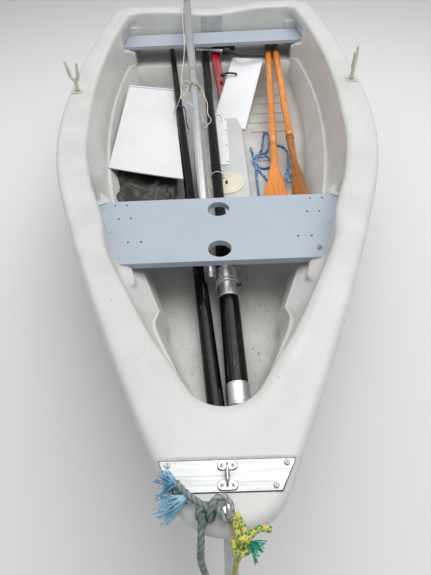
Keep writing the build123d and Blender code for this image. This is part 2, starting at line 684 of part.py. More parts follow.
def case_cap():
    """Plate that closes the daggerboard slot in the case."""
    cap = block(CAP_AFT_X, CAP_FWD_X, -CAP_HALF, CAP_HALF, 0, CAP_THICK)
    cap = fillet(cap.edges().filter_by(Axis.Z), CAP_CORNER_R)
    return Pos(0, CAP_Y, FLOOR_Z + CASE_HEIGHT) * cap


def mast_upper():
    """Tapered upper mast."""
    return rod(MAST_UP_FWD, MAST_UP_AFT, MAST_UP_FWD_R, MAST_UP_AFT_R)


def mast_lower():
    """Lower mast: a slim tube with a stout foot that fits the thwart's mast hole."""
    foot_start = along(MAST_LOW_FWD, MAST_LOW_AFT, FOOT_CAP_LENGTH)
    foot_end = along(MAST_LOW_FWD, MAST_LOW_AFT, MAST_FOOT_LENGTH)
    overlap = along(MAST_LOW_FWD, MAST_LOW_AFT, MAST_FOOT_LENGTH - 20)
    return rod(foot_start, foot_end, MAST_FOOT_R) + rod(overlap, MAST_LOW_AFT, MAST_LOW_R)


def mast_foot_cap():
    """Bright cap on the mast's foot."""
    return rod(MAST_LOW_FWD, along(MAST_LOW_FWD, MAST_LOW_AFT, FOOT_CAP_LENGTH), FOOT_CAP_R)


def mast_collar():
    """Bright sleeve round the mast foot that turns in the thwart."""
    a = along(MAST_LOW_FWD, MAST_LOW_AFT, COLLAR_START)
    b = along(MAST_LOW_FWD, MAST_LOW_AFT, COLLAR_START + COLLAR_LENGTH)
    before = along(MAST_LOW_FWD, MAST_LOW_AFT, COLLAR_START - 5)
    after = along(MAST_LOW_FWD, MAST_LOW_AFT, COLLAR_START + COLLAR_LENGTH + 5)
    return rod(a, b, COLLAR_R) - rod(before, after, MAST_FOOT_R + SEAT_GAP)


def boom():
    """Bright alloy tube with open bore between its end caps."""
    a = along(BOOM_FWD, BOOM_AFT, BOOM_CAP_LENGTH)
    b = along(BOOM_AFT, BOOM_FWD, BOOM_CAP_LENGTH)
    return rod(a, b, BOOM_R) - rod(BOOM_FWD, BOOM_AFT, BOOM_R - BOOM_WALL)


def boom_caps():
    """Plugs that close both ends of the boom."""
    caps = []
    for near, far in ((BOOM_FWD, BOOM_AFT), (BOOM_AFT, BOOM_FWD)):
        caps.append(rod(near, along(near, far, BOOM_CAP_LENGTH), BOOM_R))
    return Compound(children=caps)


def leaning_plate(aft, fwd, bottom_z, slope, width, thick, tip_r):
    """Flat plate whose fore end stands on a floor and whose aft end is raised."""
    run = Vector(aft[0] - fwd[0], aft[1] - fwd[1], 0)
    rise = slope * run.length
    x_dir = Vector(run.X, run.Y, rise)
    side = Vector(-run.Y, run.X, 0)
    up = x_dir.cross(side)
    if up.Z < 0:
        up = up * -1
    plane = Plane(origin=(fwd[0], fwd[1], bottom_z), x_dir=x_dir, z_dir=up)
    length = x_dir.length
    sheet = Pos(length / 2, 0, thick / 2) * Box(length, width, thick)
    corners = sheet.edges().filter_by(Axis.Z).group_by(Axis.X)[0]
    sheet = fillet(corners, tip_r)
    return plane.location * sheet


def daggerboard():
    """White daggerboard, leaning from the aft step to the floor behind its case."""
    return leaning_plate(FOIL_AFT, FOIL_FWD, FLOOR_Z + SEAT_GAP, FOIL_SLOPE,
                         FOIL_WIDTH, FOIL_THICK, FOIL_TIP_R)


def rudder_blade():
    """Red rudder blade, leaning the same way under the mast."""
    slope = (AFT_STEP_Z - FLOOR_Z + BLADE_STEP_GAP) / (BLADE_FWD[0] - AFT_STEP_X)
    return leaning_plate(BLADE_AFT, BLADE_FWD, FLOOR_Z + SEAT_GAP, slope,
                         BLADE_WIDTH, BLADE_THICK, BLADE_TIP_R)


def tiller_z():
    """Height of the tiller's axis where it lies across the lower mast."""
    x = TILLER_START[0] + 20
    share = (x - MAST_LOW_AFT[0]) / (MAST_LOW_FWD[0] - MAST_LOW_AFT[0])
    axis = MAST_LOW_AFT[2] + share * (MAST_LOW_FWD[2] - MAST_LOW_AFT[2])
    return axis + MAST_LOW_R + TILLER_R + TILLER_SEAT


def steering_gear():
    """Tiller, its rubber joint, its extension and the rudder head, lying across the boat."""
    z = tiller_z()
    a, b = (*TILLER_START, z), (*TILLER_END, z)
    c = (*JOINT_END, z)
    d = (*EXTENSION_END, z - EXTENSION_DROP)
    tiller = rod(a, b, TILLER_R)
    joint = rod(along(b, c, JOINT_START), c, JOINT_R) + Pos(*c) * Sphere(JOINT_R)
    extension = rod(along(c, d, JOINT_R + SEAT_GAP), d, EXTENSION_R)
    place, length = between(b, a)
    side = Vector(b[1] - a[1], a[0] - b[0], 0).normalized()
    away = TILLER_R + HEAD_DEPTH / 2 + SEAT_GAP
    head_mid = Vector(*b) * HEAD_SHARE + Vector(*a) * (1 - HEAD_SHARE) - side * away
    plane = Plane(origin=(head_mid.X, head_mid.Y, z + HEAD_RISE),
                  x_dir=(b[0] - a[0], b[1] - a[1], 0), z_dir=(0, 0, 1))
    head = plane.location * Box(HEAD_LENGTH, HEAD_DEPTH, HEAD_HEIGHT)
    return tiller, joint, extension, head


def oar(ends, roll):
    """Shaft, grip and blade on one axis, rolled about it."""
    (ax, ay), (fx, fy) = ends
    aft = (ax, ay, OAR_AFT_Z)
    lean = math.radians(abs(roll))
    tip_rise = OAR_TIP_CUT * (OAR_AFT_Z - FLOOR_Z) / (fx - ax) * math.sin(lean)
    low_edge = OAR_BLADE_HALF * math.sin(lean) + OAR_BLADE_THICK / 2 * math.cos(lean)
    fwd = (fx, fy, FLOOR_Z + low_edge + OAR_TIP_GAP - tip_rise)
    neck = along(fwd, aft, OAR_BLADE_LENGTH - 60)
    grip = along(aft, fwd, OAR_GRIP_LENGTH)
    shaft = rod(grip, neck, OAR_SHAFT_R) + rod(aft, grip, OAR_GRIP_R)
    axis = Vector(*aft) - Vector(*fwd)
    level = Vector(axis.Y, -axis.X, 0).normalized()
    plane = Plane(origin=fwd, x_dir=axis, z_dir=axis.cross(level) * (1 if axis.cross(level).Z > 0 else -1))
    half = OAR_BLADE_HALF
    cut = OAR_TIP_CUT
    flare, root = OAR_BLADE_LENGTH / 2, OAR_SHAFT_R - OAR_ROOT_STEP
    wide = half - OAR_ROOT_STEP
    outline = Polyline((0, -half + cut), (cut, -half), (flare, -wide), (OAR_BLADE_LENGTH, -root),
                       (OAR_BLADE_LENGTH, root), (flare, wide), (cut, half), (0, half - cut),
                       close=True)
    blade = Pos(0, 0, -OAR_BLADE_THICK / 2) * extrude(make_face(outline), amount=OAR_BLADE_THICK)
    return shaft + plane.location * (Rot(roll, 0, 0) * blade)


def locker_board():
    """Thin white board lying on the sail bag, heeled up towards the side."""
    corners = LOCKER_BOARD
    face = make_face(Polyline(*corners, close=True))
    plate = extrude(face, amount=LOCKER_THICK)
    hinge_y = BAG_IN_Y - BAG_ROUND
    hinge_z = FLOOR_Z + BAG_HEIGHT + LOCKER_GAP
    plate = Pos(0, -hinge_y, 0) * plate
    return Pos(0, hinge_y, hinge_z) * Rot(-LOCKER_HEEL, 0, 0) * plate


def sail_bag():
    """Long soft bag on the floor, starboard side."""
    bag = block(BAG_AFT_X, BAG_FWD_X, BAG_OUT_Y, BAG_IN_Y, FLOOR_Z + SEAT_GAP, FLOOR_Z + BAG_HEIGHT)
    long_edges = bag.edges().filter_by(Axis.X)
    return fillet(long_edges, BAG_ROUND)


def wheel_rim(s):
    """Moulded wheel with hub and web, bored for the stub axle."""
    half = TYRE_WIDTH / 2 - 8
    profile = Polyline((-half, WHEEL_RIM_R), (-half, WHEEL_RIM_R - 12), (-10, WHEEL_RIM_R - 14),
                       (-10, HUB_R), (-half - 4, HUB_R), (-half - 4, AXLE_R + AXLE_RUNNING_GAP),
                       (half + 4, AXLE_R + AXLE_RUNNING_GAP), (half + 4, HUB_R), (10, HUB_R),
                       (10, WHEEL_RIM_R - 14), (half, WHEEL_RIM_R - 12), (half, WHEEL_RIM_R), close=True)
    face = Plane.XY * make_face(profile)
    wheel = revolve(face, Axis.X)
    return Pos(WHEEL_X, s * WHEEL_Y, TYRE_R) * Rot(0, 0, 90) * wheel


def tyre(s):
    """Ribbed balloon tyre on the rim."""
    half = TYRE_WIDTH / 2
    inner = WHEEL_RIM_R
    edge = half - 8
    path = [
        Line((-edge, inner), (edge, inner)),
        ThreePointArc((edge, inner), (half, (inner + TYRE_R) / 2), (edge - 6, TYRE_R - 14)),
        ThreePointArc((edge - 6, TYRE_R - 14), (0, TYRE_R), (6 - edge, TYRE_R - 14)),
        ThreePointArc((6 - edge, TYRE_R - 14), (-half, (inner + TYRE_R) / 2), (-edge, inner)),
    ]
    face = Face(Wire([p.edge() for p in path]))
    ring = revolve(face, Axis.X)
    return Pos(WHEEL_X, s * WHEEL_Y, TYRE_R) * Rot(0, 0, 90) * ring


def box_tube(x0, x1, y0, y1, z0, z1, axis):
    """Square steel tube, hollow along one axis."""
    w = BEAM_WALL
    outer = block(x0, x1, y0, y1, z0, z1)
    if axis == "x":
        return outer - block(x0 - 1, x1 + 1, y0 + w, y1 - w, z0 + w, z1 - w)
    return outer - block(x0 + w, x1 - w, y0 - 1, y1 + 1, z0 + w, z1 - w)


def keel_rest():
    """Rubber pad on the drawbar under the keel strip."""
    return block(KEEL_REST_X - KEEL_REST_LENGTH / 2, KEEL_REST_X + KEEL_REST_LENGTH / 2, -BEAM / 2, BEAM / 2,
                 DRAWBAR_Z + BEAM, KEEL_Z - KEEL_STRIP_THICK)


def drawbar():
    """Long square tube from the axle to the handle."""
    return box_tube(DRAWBAR_AFT_X, DRAWBAR_FWD_X, -BEAM / 2, BEAM / 2, DRAWBAR_Z, DRAWBAR_Z + BEAM, "x")


def axle_beam():
    """Cross tube with a solid stub axle at each end."""
    top = DRAWBAR_Z
    beam = box_tube(WHEEL_X - BEAM / 2, WHEEL_X + BEAM / 2, -AXLE_BEAM_HALF, AXLE_BEAM_HALF,
                    top - BEAM, top, "y")
    for s in (1, -1):
        end = s * AXLE_BEAM_HALF
        plug = block(WHEEL_X - BEAM / 2, WHEEL_X + BEAM / 2, min(end, end - s * 30), max(end, end - s * 30),
                     top - BEAM, top)
        tip = s * (WHEEL_Y + TYRE_WIDTH / 2 + 6)
        stub = rod((WHEEL_X, end - s * 20, TYRE_R), (WHEEL_X, tip, TYRE_R), AXLE_R)
        beam = beam + plug + stub
    return beam


def cross_beam():
    """Second cross tube under the bunks' front ends."""
    return box_tube(CROSS_X - BEAM / 2, CROSS_X + BEAM / 2, -CROSS_HALF, CROSS_HALF,
                    DRAWBAR_Z - BEAM, DRAWBAR_Z, "y")


def bunk(s):
    """Timber bunk standing on the cross tubes, either side of the drawbar."""
    y = s * RUNNER_Y
    return block(BUNK_AFT_X, BUNK_FWD_X, y - BUNK_WIDTH / 2, y + BUNK_WIDTH / 2,
                 DRAWBAR_Z, RUNNER_Z - BUNK_PAD_THICK)


def bunk_pad(s):
    """Felt strip on a bunk, which a hull runner rests on."""
    y = s * RUNNER_Y
    return block(BUNK_AFT_X, BUNK_FWD_X, y - BUNK_WIDTH / 2, y + BUNK_WIDTH / 2,
                 RUNNER_Z - BUNK_PAD_THICK, RUNNER_Z)


def rest_leg():
    """Fixed leg that keeps the trolley level when parked."""
    post = rod((LEG_X, 0, 0), (LEG_X, 0, DRAWBAR_Z), LEG_R)
    foot = rod((LEG_X, 0, 0), (LEG_X, 0, 8), LEG_FOOT_R)
    return post + foot


def tow_handle():
    """Tee handle across the drawbar's nose."""
    z = DRAWBAR_Z + BEAM / 2
    x = DRAWBAR_FWD_X + HANDLE_R
    return rod((x, -HANDLE_HALF, z), (x, HANDLE_HALF, z), HANDLE_R)


def tube_along(points, diameter, first_r=None):
    """Round cord solid on straight runs and tangent arcs, with its arc radii and length."""
    pts = [Vector(*p) for p in points]
    radii = []
    for i in range(1, len(pts) - 1):
        u, v = pts[i] - pts[i - 1], pts[i + 1] - pts[i]
        half = math.radians(u.get_angle(v)) / 2
        radii.append(0.45 * min(u.length, v.length) / math.tan(half))
    path = FilletPolyline(*points, radius=radii)
    cord = sweep(Plane(origin=path @ 0, z_dir=path % 0) * Circle(diameter / 2), path=path)
    ratio = cord.volume / (math.pi * diameter ** 2 / 4 * path.length)
    print("cord length", round(path.length), "volume ratio", round(ratio, 4),
          "radii", [round(r) for r in radii])
    return cord


# The painters hang over the bow and go down to the drawbar
GREY_ROUTE = [
    (3061.0, -51.0, 803.5), (3086.5, -53.0, 803.5), (3108.7, -54.8, 790.8), (3121.4, -56.5, 768.6),
    (3121.9, -58.5, 735.0), (3120.0, -61.5, 672.0), (3122.0, -61.0, 550.0), (3119.0, -58.0, 428.0),
    (3123.0, -50.0, 340.0), (3130.0, -30.0, 286.0),
]
YELLOW_ROUTE = [
    (3114.0, 22.0, 752.0), (3116.0, 19.0, 700.0), (3112.0, 13.0, 620.0), (3114.0, 8.0, 500.0),
    (3108.0, 6.0, 380.0), (3112.0, 2.0, 310.0), (3128.0, 1.0, 277.0),
]


def painter_grey_knot():
    """Knot on the bow eye with a short frayed tail over the rail."""
    z = deck_z() + KNOT_R + KNOT_GAP
    knot = rod((*GREY_KNOT[0], z), (*GREY_KNOT[1], z), KNOT_R)
    tail = rod((*GREY_TAIL[0], z - GREY_TAIL_DROP), (*GREY_TAIL[1], z), GREY_D / 2, GREY_FRAY_R)
    return knot + tail


def painter_yellow_knot():
    """Knot that hangs over the stem with its short tail."""
    z = deck_z() + YELLOW_LOOP_R + KNOT_GAP
    eye_side = (YELLOW_LOOP_X, EYE_ROD_R + YELLOW_LOOP_R + KNOT_GAP, z)
    loop = rod(eye_side, (*YELLOW_KNOT, z), YELLOW_LOOP_R)
    knot = rod((*YELLOW_KNOT, z + YELLOW_KNOT_RISE), YELLOW_ROUTE[0], KNOT_R)
    tail_z = z + YELLOW_TAIL_RISE
    tail = rod((*YELLOW_TAIL[0], tail_z), (*YELLOW_TAIL[1], tail_z), YELLOW_D / 2)
    return loop + knot + tail


def painter_tie(x, thick):
    """Rope turns round the drawbar where a painter is made fast."""
    half = BEAM / 2
    outer = block(x, x + 2 * thick, -half - thick, half + thick,
                  DRAWBAR_Z - thick, DRAWBAR_Z + BEAM + thick)
    outer = fillet(outer.edges().filter_by(Axis.X), thick)
    return outer - block(x - 1, x + 2 * thick + 1, -half - SEAT_GAP, half + SEAT_GAP,
                         DRAWBAR_Z - SEAT_GAP, DRAWBAR_Z + BEAM + SEAT_GAP)


def main():
    os.makedirs("parts", exist_ok=True)
    body = hull()
    save("hull", body)
    keel = block(KEEL_STRIP_AFT_X, KEEL_STRIP_FWD_X, -KEEL_STRIP_WIDTH / 2, KEEL_STRIP_WIDTH / 2,
                 KEEL_Z - KEEL_STRIP_THICK, KEEL_Z)
    save("keel_strip", keel - slot_cutter())
    save("centre_thwart", centre_thwart())
    save("aft_thwart", aft_thwart_footprint(0.0, AFT_THWART_TOP_Z - AFT_THWART_THICK, AFT_THWART_THICK))
    save("daggerboard_case", daggerboard_case())
    save("case_cap", case_cap())
    save("round_lid", round_lid())
    save("bow_plate", bow_plate())
    save("bow_deck_loop", bow_deck_loop())
    save("bow_eye", bow_eye())
    save("transom_pad_inside", transom_inner_pad())
    save("transom_pad_outside", transom_outer_pad(body))
    save("gudgeons", gudgeons(body))
    save("drain_plug", drain_plug(body))
    save("mast_upper", mast_upper())
    save("mast_lower", mast_lower())
    save("mast_foot_cap", mast_foot_cap())
    save("mast_collar", mast_collar())
    save("boom", boom())
    save("boom_caps", boom_caps())
    save("daggerboard", daggerboard())
    save("rudder_blade", rudder_blade())
    tiller, joint, extension, head = steering_gear()
    save("tiller", tiller)
    save("tiller_joint", joint)
    save("tiller_extension", extension)
    save("rudder_head", head)
    save("oar_inner", oar(OAR_INNER, 0.0))
    save("oar_outer", oar(OAR_OUTER, OAR_OUTER_ROLL))
    save("locker_board", locker_board())
    save("sail_bag", sail_bag())
    for name, s, turn in (("port", 1, ROWLOCK_PORT_TURN), ("starboard", -1, ROWLOCK_STARBOARD_TURN)):
        save(f"rowlock_{name}", rowlock(s, turn))
        save(f"wheel_rim_{name}", wheel_rim(s))
        save(f"tyre_{name}", tyre(s))
    save("rowlock_sockets", Compound(children=[rowlock_socket(s) for s in (1, -1)]))
    save("bunks", Compound(children=[bunk(s) for s in (1, -1)]))
    save("bunk_pads", Compound(children=[bunk_pad(s) for s in (1, -1)]))
    save("drawbar", drawbar())
    save("axle_beam", axle_beam())
    save("cross_beam", cross_beam())
    save("keel_rest", keel_rest())
    save("rest_leg", rest_leg())
    save("tow_handle", tow_handle())
    grey, yellow = tube_along(GREY_ROUTE, GREY_D), tube_along(YELLOW_ROUTE, YELLOW_D)
    save("painter_grey", grey)
    save("painter_yellow", yellow)
    grey_tie = painter_tie(GREY_ROUTE[-1][0] + GREY_D / 2 + KNOT_GAP, GREY_D)
    yellow_tie = painter_tie(GREY_ROUTE[-1][0] + TIE_SPACING, YELLOW_D)
    save("painter_grey_knots", Compound(children=[painter_grey_knot() - grey, grey_tie]))
    save("painter_yellow_knots", Compound(children=[painter_yellow_knot() - yellow, yellow_tie]))


main()
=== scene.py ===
import logging
import math
import random
from dataclasses import dataclass
from enum import Enum
from typing import Callable, Sequence

import bmesh
import bpy
from mathutils import Matrix, Vector, noise


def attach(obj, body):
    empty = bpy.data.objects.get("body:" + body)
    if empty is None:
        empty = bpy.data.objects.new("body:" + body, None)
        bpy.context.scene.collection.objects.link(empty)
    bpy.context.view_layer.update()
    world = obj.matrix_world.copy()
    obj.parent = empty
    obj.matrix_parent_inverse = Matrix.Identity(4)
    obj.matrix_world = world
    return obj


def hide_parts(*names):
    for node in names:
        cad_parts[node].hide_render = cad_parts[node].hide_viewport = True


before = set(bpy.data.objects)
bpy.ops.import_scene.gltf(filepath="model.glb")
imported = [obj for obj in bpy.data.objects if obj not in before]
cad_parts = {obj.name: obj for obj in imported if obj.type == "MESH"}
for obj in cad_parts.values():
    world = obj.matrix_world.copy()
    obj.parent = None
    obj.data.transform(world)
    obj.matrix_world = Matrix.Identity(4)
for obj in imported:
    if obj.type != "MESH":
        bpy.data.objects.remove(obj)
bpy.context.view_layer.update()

logging.basicConfig(level=logging.INFO, format="%(message)s")
log = logging.getLogger("dinghy")

Point = tuple[float, float, float]
Pair = tuple[float, float]

# Sizes are in millimetres in the boat's own coordinates: x forward from the transom,
# y to port, z up from the ground. at() turns a place into the model's metres.
ORIGIN_X = 1689.0
MM = 0.001

RIM_Z = 730.0
SHEER_LOW_X = 1300.0
SHEER_BOW_X = 3100.0
SHEER_BOW_RISE = 70.0
SHEER_STERN_RISE = 30.0
FLOOR_Z = 370.0
LEDGE_Z = 530.0
AFT_STEP_X = 300.0
AFT_STEP_Z = 515.0
THWART_TOP_Z = 590.0
THWART_THICK = 25.0
CASE_TOP_Z = 435.0
BOW_DECK_Z = 786.0
DRAWBAR_Z = 242.0
DRAWBAR_HALF = 20.0
# Axis of the lower mast's tube as it lies in the boat
LOWER_MAST_FWD = Vector((2655.0, 44.5, 411.0))
LOWER_MAST_AFT = Vector((200.0, -53.5, 546.0))
SIDES = (("port", 1), ("starboard", -1))


def at(x: float, y: float, z: float) -> Vector:
    """Place in the model's metres of a boat coordinate in millimetres."""
    return Vector(((x - ORIGIN_X) * MM, y * MM, z * MM))


def sheer(x: float) -> float:
    """Height of the gunwale's top at a station."""
    end, rise = (SHEER_BOW_X, SHEER_BOW_RISE) if x > SHEER_LOW_X else (0.0, SHEER_STERN_RISE)
    return RIM_Z + rise * ((x - SHEER_LOW_X) / (end - SHEER_LOW_X)) ** 2


def smooth(low: float, high: float, value: float) -> float:
    """Smooth step from 0 at low to 1 at high."""
    t = min(1.0, max(0.0, (value - low) / (high - low)))
    return t * t * (3 - 2 * t)


def lerp(a: float, b: float, t: float) -> float:
    """Value a share t of the way from a to b."""
    return a + (b - a) * t


def hump(up: Pair, down: Pair, value: float) -> float:
    """Share that rises from 0 to 1 over one span and falls back over another."""
    return smooth(*up, value) * (1 - smooth(*down, value))


def srgb(code: str) -> tuple[float, float, float, float]:
    """Linear colour with full alpha from an sRGB hex code."""
    parts = [int(code[i:i + 2], 16) / 255 for i in (1, 3, 5)]
    return (*[c / 12.92 if c <= 0.04045 else ((c + 0.055) / 1.055) ** 2.4 for c in parts], 1.0)


# Finishes

# Heights in metres between which the dirt on the sole thins out
DIRT_BAND = (0.44, 0.56)


class Axis(Enum):
    """Direction that a grain or brushing runs in."""

    LENGTH = (0.03, 1.0, 1.0)
    WIDTH = (1.0, 0.03, 1.0)
    NONE = (1.0, 1.0, 1.0)


class Graph:
    """A material's node tree, with one function that adds a node."""

    def __init__(self, material: bpy.types.Material) -> None:
        """Starts from the material's own shader.

        Args:
            material: the material whose tree is filled.
        """
        material.use_nodes = True
        self.tree = material.node_tree
        self.shader = self.tree.nodes["Principled BSDF"]

    def add(self, kind: str, sockets: dict | None = None, **settings: object) -> bpy.types.Node:
        """Adds a node with its settings, values and links.

        Args:
            kind: the node's type name.
            sockets: values or output sockets by input name or number.
            settings: the node's own properties.

        Returns:
            The new node.
        """
        node = self.tree.nodes.new(kind)
        for key, value in settings.items():
            setattr(node, key, value)
        for key, value in (sockets or {}).items():
            if isinstance(value, bpy.types.NodeSocket):
                self.tree.links.new(value, node.inputs[key])
            else:
                node.inputs[key].default_value = value
        return node

    def mix(self, share: bpy.types.NodeSocket, a: object, b: object) -> bpy.types.NodeSocket:
        """Colour between a and b by a share."""
        node = self.add("ShaderNodeMix", {0: share, 6: a, 7: b}, data_type="RGBA")
        return node.outputs[2]

    def ramp(self, value: bpy.types.NodeSocket, low: float, high: float,
             out: Pair = (0.0, 1.0)) -> bpy.types.NodeSocket:
        """Value spread between two limits onto an output range."""
        node = self.add("ShaderNodeMapRange", {0: value, 1: low, 2: high, 3: out[0], 4: out[1]})
        return node.outputs[0]

    def noise(self, coords: bpy.types.NodeSocket, size_mm: float, detail: float = 4.0,
              stretch: Point = (1.0, 1.0, 1.0)) -> bpy.types.NodeSocket:
        """Noise from soft patches.

        Args:
            coords: where it is read.
            size_mm: breadth of its patches.
            detail: how many finer layers it has.
            stretch: scale along each axis, small where patches are drawn out.

        Returns:
            Values about 0.5.
        """
        place = self.add("ShaderNodeMapping", {"Vector": coords, "Scale": stretch})
        node = self.add("ShaderNodeTexNoise", {"Vector": place.outputs[0], "Scale": 1 / (size_mm * MM),
                                               "Detail": detail, "Roughness": 0.6})
        return node.outputs[0]

    def calc(self, operation: str, a: object, b: object) -> bpy.types.NodeSocket:
        """Result of one operation on two values."""
        return self.add("ShaderNodeMath", {0: a, 1: b}, operation=operation).outputs[0]

    def cells(self, coords: bpy.types.NodeSocket, size_mm: float) -> bpy.types.NodeSocket:
        """Distance from the middle of scattered cells about size_mm apart."""
        node = self.add("ShaderNodeTexVoronoi", {"Vector": coords, "Scale": 1 / (size_mm * MM)})
        return node.outputs["Distance"]


@dataclass(frozen=True)
class Finish:
    """A surface: what it is made of and the shader's plain values."""

    name: str
    slot: str
    base: str
    second: str
    roughness: float = 0.4
    metallic: float = 0.0
    ior: float = 1.5
    coat: float = 0.0

    def material(self) -> bpy.types.Material:
        """The finish's material, made once.

        Returns:
            The new or found material.
        """
        found = bpy.data.materials.get(self.name)
        if found:
            return found
        made = bpy.data.materials.new(self.name)
        graph = Graph(made)
        shader = graph.shader
        shader.inputs["Metallic"].default_value = self.metallic
        shader.inputs["IOR"].default_value = self.ior
        shader.inputs["Coat Weight"].default_value = self.coat
        shader.inputs["Coat Roughness"].default_value = 0.08
        self.shade(graph)
        return made

    def coords(self, graph: Graph, kind: str = "Object") -> bpy.types.NodeSocket:
        """Texture coordinates that stay on the piece."""
        return graph.add("ShaderNodeTexCoord").outputs[kind]

    def set_surface(self, graph: Graph, colour: bpy.types.NodeSocket, rough: bpy.types.NodeSocket,
                    height: bpy.types.NodeSocket | None, bump_mm: float) -> None:
        """Links colour, roughness and bump to the shader.

        Args:
            graph: the node tree.
            colour: base colour.
            rough: roughness.
            height: relief of the surface, or None where it is plain.
            bump_mm: depth of the relief.
        """
        graph.tree.links.new(colour, graph.shader.inputs["Base Color"])
        graph.tree.links.new(rough, graph.shader.inputs["Roughness"])
        if height is not None:
            bump = graph.add("ShaderNodeBump", {"Height": height, "Distance": bump_mm * MM, "Strength": 1.0})
            graph.tree.links.new(bump.outputs[0], graph.shader.inputs["Normal"])

    def shade(self, graph: Graph) -> None:
        """Fills the graph; each family of finish has its own."""
        raise NotImplementedError


@dataclass(frozen=True)
class Moulded(Finish):
    """Moulded or painted plastic: soft mottle, specks, scuffs and a fine orange peel."""

    mottle_mm: float = 180.0
    peel_mm: float = 6.0
    peel_height_mm: float = 0.15
    speck: str = "#6b6a63"
    speck_mm: float = 26.0
    speck_share: float = 0.10
    scuff: str = "#b4b3ad"
    scuff_share: float = 0.0
    litter: str = "#4d4233"
    stain: str = "#a2998b"
    litter_share: float = 0.0

    def shade(self, graph: Graph) -> None:
        """Mottled colour, sparse specks, long thin scuffs and orange peel.

        Args:
            graph: the node tree.
        """
        coords = self.coords(graph)
        mottle = graph.ramp(graph.noise(coords, self.mottle_mm), 0.35, 0.65)
        colour = graph.mix(mottle, srgb(self.base), srgb(self.second))
        patch = graph.ramp(graph.noise(coords, self.speck_mm * 9, 2.0), 0.5, 0.7, (0.0, self.speck_share))
        near = graph.calc("LESS_THAN", graph.cells(coords, self.speck_mm), patch)
        colour = graph.mix(near, colour, srgb(self.speck))
        if self.scuff_share > 0:
            lines = graph.noise(coords, 9.0, 2.0, (0.10, 1.4, 1.0))
            worn = graph.ramp(lines, 0.70, 0.76, (0.0, self.scuff_share))
            colour = graph.mix(worn, colour, srgb(self.scuff))
        if self.litter_share > 0:
            colour = self.sole_dirt(graph, coords, colour)
        rough = graph.ramp(graph.noise(coords, self.mottle_mm / 3), 0.3, 0.7,
                           (self.roughness * 0.8, self.roughness * 1.25))
        self.set_surface(graph, colour, rough, graph.noise(coords, self.peel_mm, 2.0), self.peel_height_mm)

    def sole_dirt(self, graph: Graph, coords: bpy.types.NodeSocket,
                  colour: bpy.types.NodeSocket) -> bpy.types.NodeSocket:
        """Leaf crumbs and grey stains where dirt gathers: low, on what faces up.

        Args:
            graph: the node tree.
            coords: coordinates in metres.
            colour: clean colour.

        Returns:
            Colour with the dirt on it.
        """
        height = graph.add("ShaderNodeSeparateXYZ", {"Vector": coords}).outputs["Z"]
        normal = graph.add("ShaderNodeNewGeometry").outputs["Normal"]
        facing = graph.add("ShaderNodeSeparateXYZ", {"Vector": normal}).outputs["Z"]
        low = graph.calc("MULTIPLY", graph.ramp(height, *DIRT_BAND, (1.0, 0.0)), graph.ramp(facing, 0.2, 0.8))
        cloud = graph.ramp(graph.noise(coords, 170.0, 3.0), 0.42, 0.66, (0.15, self.litter_share))
        crumbs = graph.ramp(graph.noise(coords, 13.0, 5.0), 0.63, 0.67)
        bit = graph.calc("MULTIPLY", crumbs, graph.calc("MULTIPLY", cloud, low))
        film = graph.ramp(graph.noise(coords, 130.0, 6.0), 0.34, 0.66, (0.06, 0.42))
        colour = graph.mix(graph.calc("MULTIPLY", film, low), colour, srgb(self.stain))
        return graph.mix(bit, colour, srgb(self.litter))


@dataclass(frozen=True)
class Metal(Finish):
    """Bare or zinced metal: streaks along the drawing direction, dull patches and fine grain."""

    grain_mm: float = 4.0
    patch_mm: float = 60.0
    bump_mm: float = 0.06
    along: Axis = Axis.LENGTH

    def shade(self, graph: Graph) -> None:
        """Streaked colour and roughness from the metal's drawing or spangle.

        Args:
            graph: the node tree.
        """
        coords = self.coords(graph)
        streak = graph.noise(coords, self.grain_mm, 3.0, self.along.value)
        patch = graph.ramp(graph.noise(coords, self.patch_mm), 0.3, 0.7)
        colour = graph.mix(patch, srgb(self.base), srgb(self.second))
        tone = graph.ramp(streak, 0.3, 0.7, (self.roughness * 0.75, self.roughness * 1.3))
        self.set_surface(graph, colour, tone, streak, self.bump_mm)


@dataclass(frozen=True)
class Wood(Finish):
    """Timber, bare or varnished, with its growth lines along the piece."""

    dark: str = "#8a4a14"
    grain_mm: float = 7.0
    bump_mm: float = 0.05

    def shade(self, graph: Graph) -> None:
        """Long growth lines, broad tone changes and small dark pores.

        Args:
            graph: the node tree.
        """
        coords = self.coords(graph)
        grain = graph.noise(coords, self.grain_mm, 5.0, Axis.LENGTH.value)
        broad = graph.noise(coords, self.grain_mm * 9, 2.0, (0.12, 1.0, 1.0))
        colour = graph.mix(graph.ramp(broad, 0.35, 0.65), srgb(self.base), srgb(self.second))
        colour = graph.mix(graph.ramp(grain, 0.52, 0.70, (0.0, 0.75)), colour, srgb(self.dark))
        rough = graph.ramp(broad, 0.3, 0.7, (self.roughness * 0.85, self.roughness * 1.2))
        self.set_surface(graph, colour, rough, grain, self.bump_mm)


@dataclass(frozen=True)
class WetTube(Finish):
    """Dark glossy tube with rain drops, thin long scratches and dust."""

    drop_mm: float = 7.0
    drop_height_mm: float = 0.7
    scratch: str = "#8e9091"

    def shade(self, graph: Graph) -> None:
        """Drops as small domes, and pale scratches along the tube.

        Args:
            graph: the node tree.
        """
        coords = self.coords(graph)
        dome = graph.ramp(graph.cells(coords, self.drop_mm), 0.12, 0.30, (1.0, 0.0))
        lines = graph.ramp(graph.noise(coords, 5.0, 3.0, (0.05, 1.0, 1.0)), 0.66, 0.74, (0.0, 0.6))
        dust = graph.ramp(graph.noise(coords, 90.0), 0.5, 0.8, (0.0, 0.05))
        colour = graph.mix(dust, srgb(self.base), srgb(self.second))
        colour = graph.mix(lines, colour, srgb(self.scratch))
        rough = graph.ramp(graph.noise(coords, 40.0), 0.3, 0.7, (self.roughness * 0.7, self.roughness * 1.6))
        self.set_surface(graph, colour, rough, dome, self.drop_height_mm)


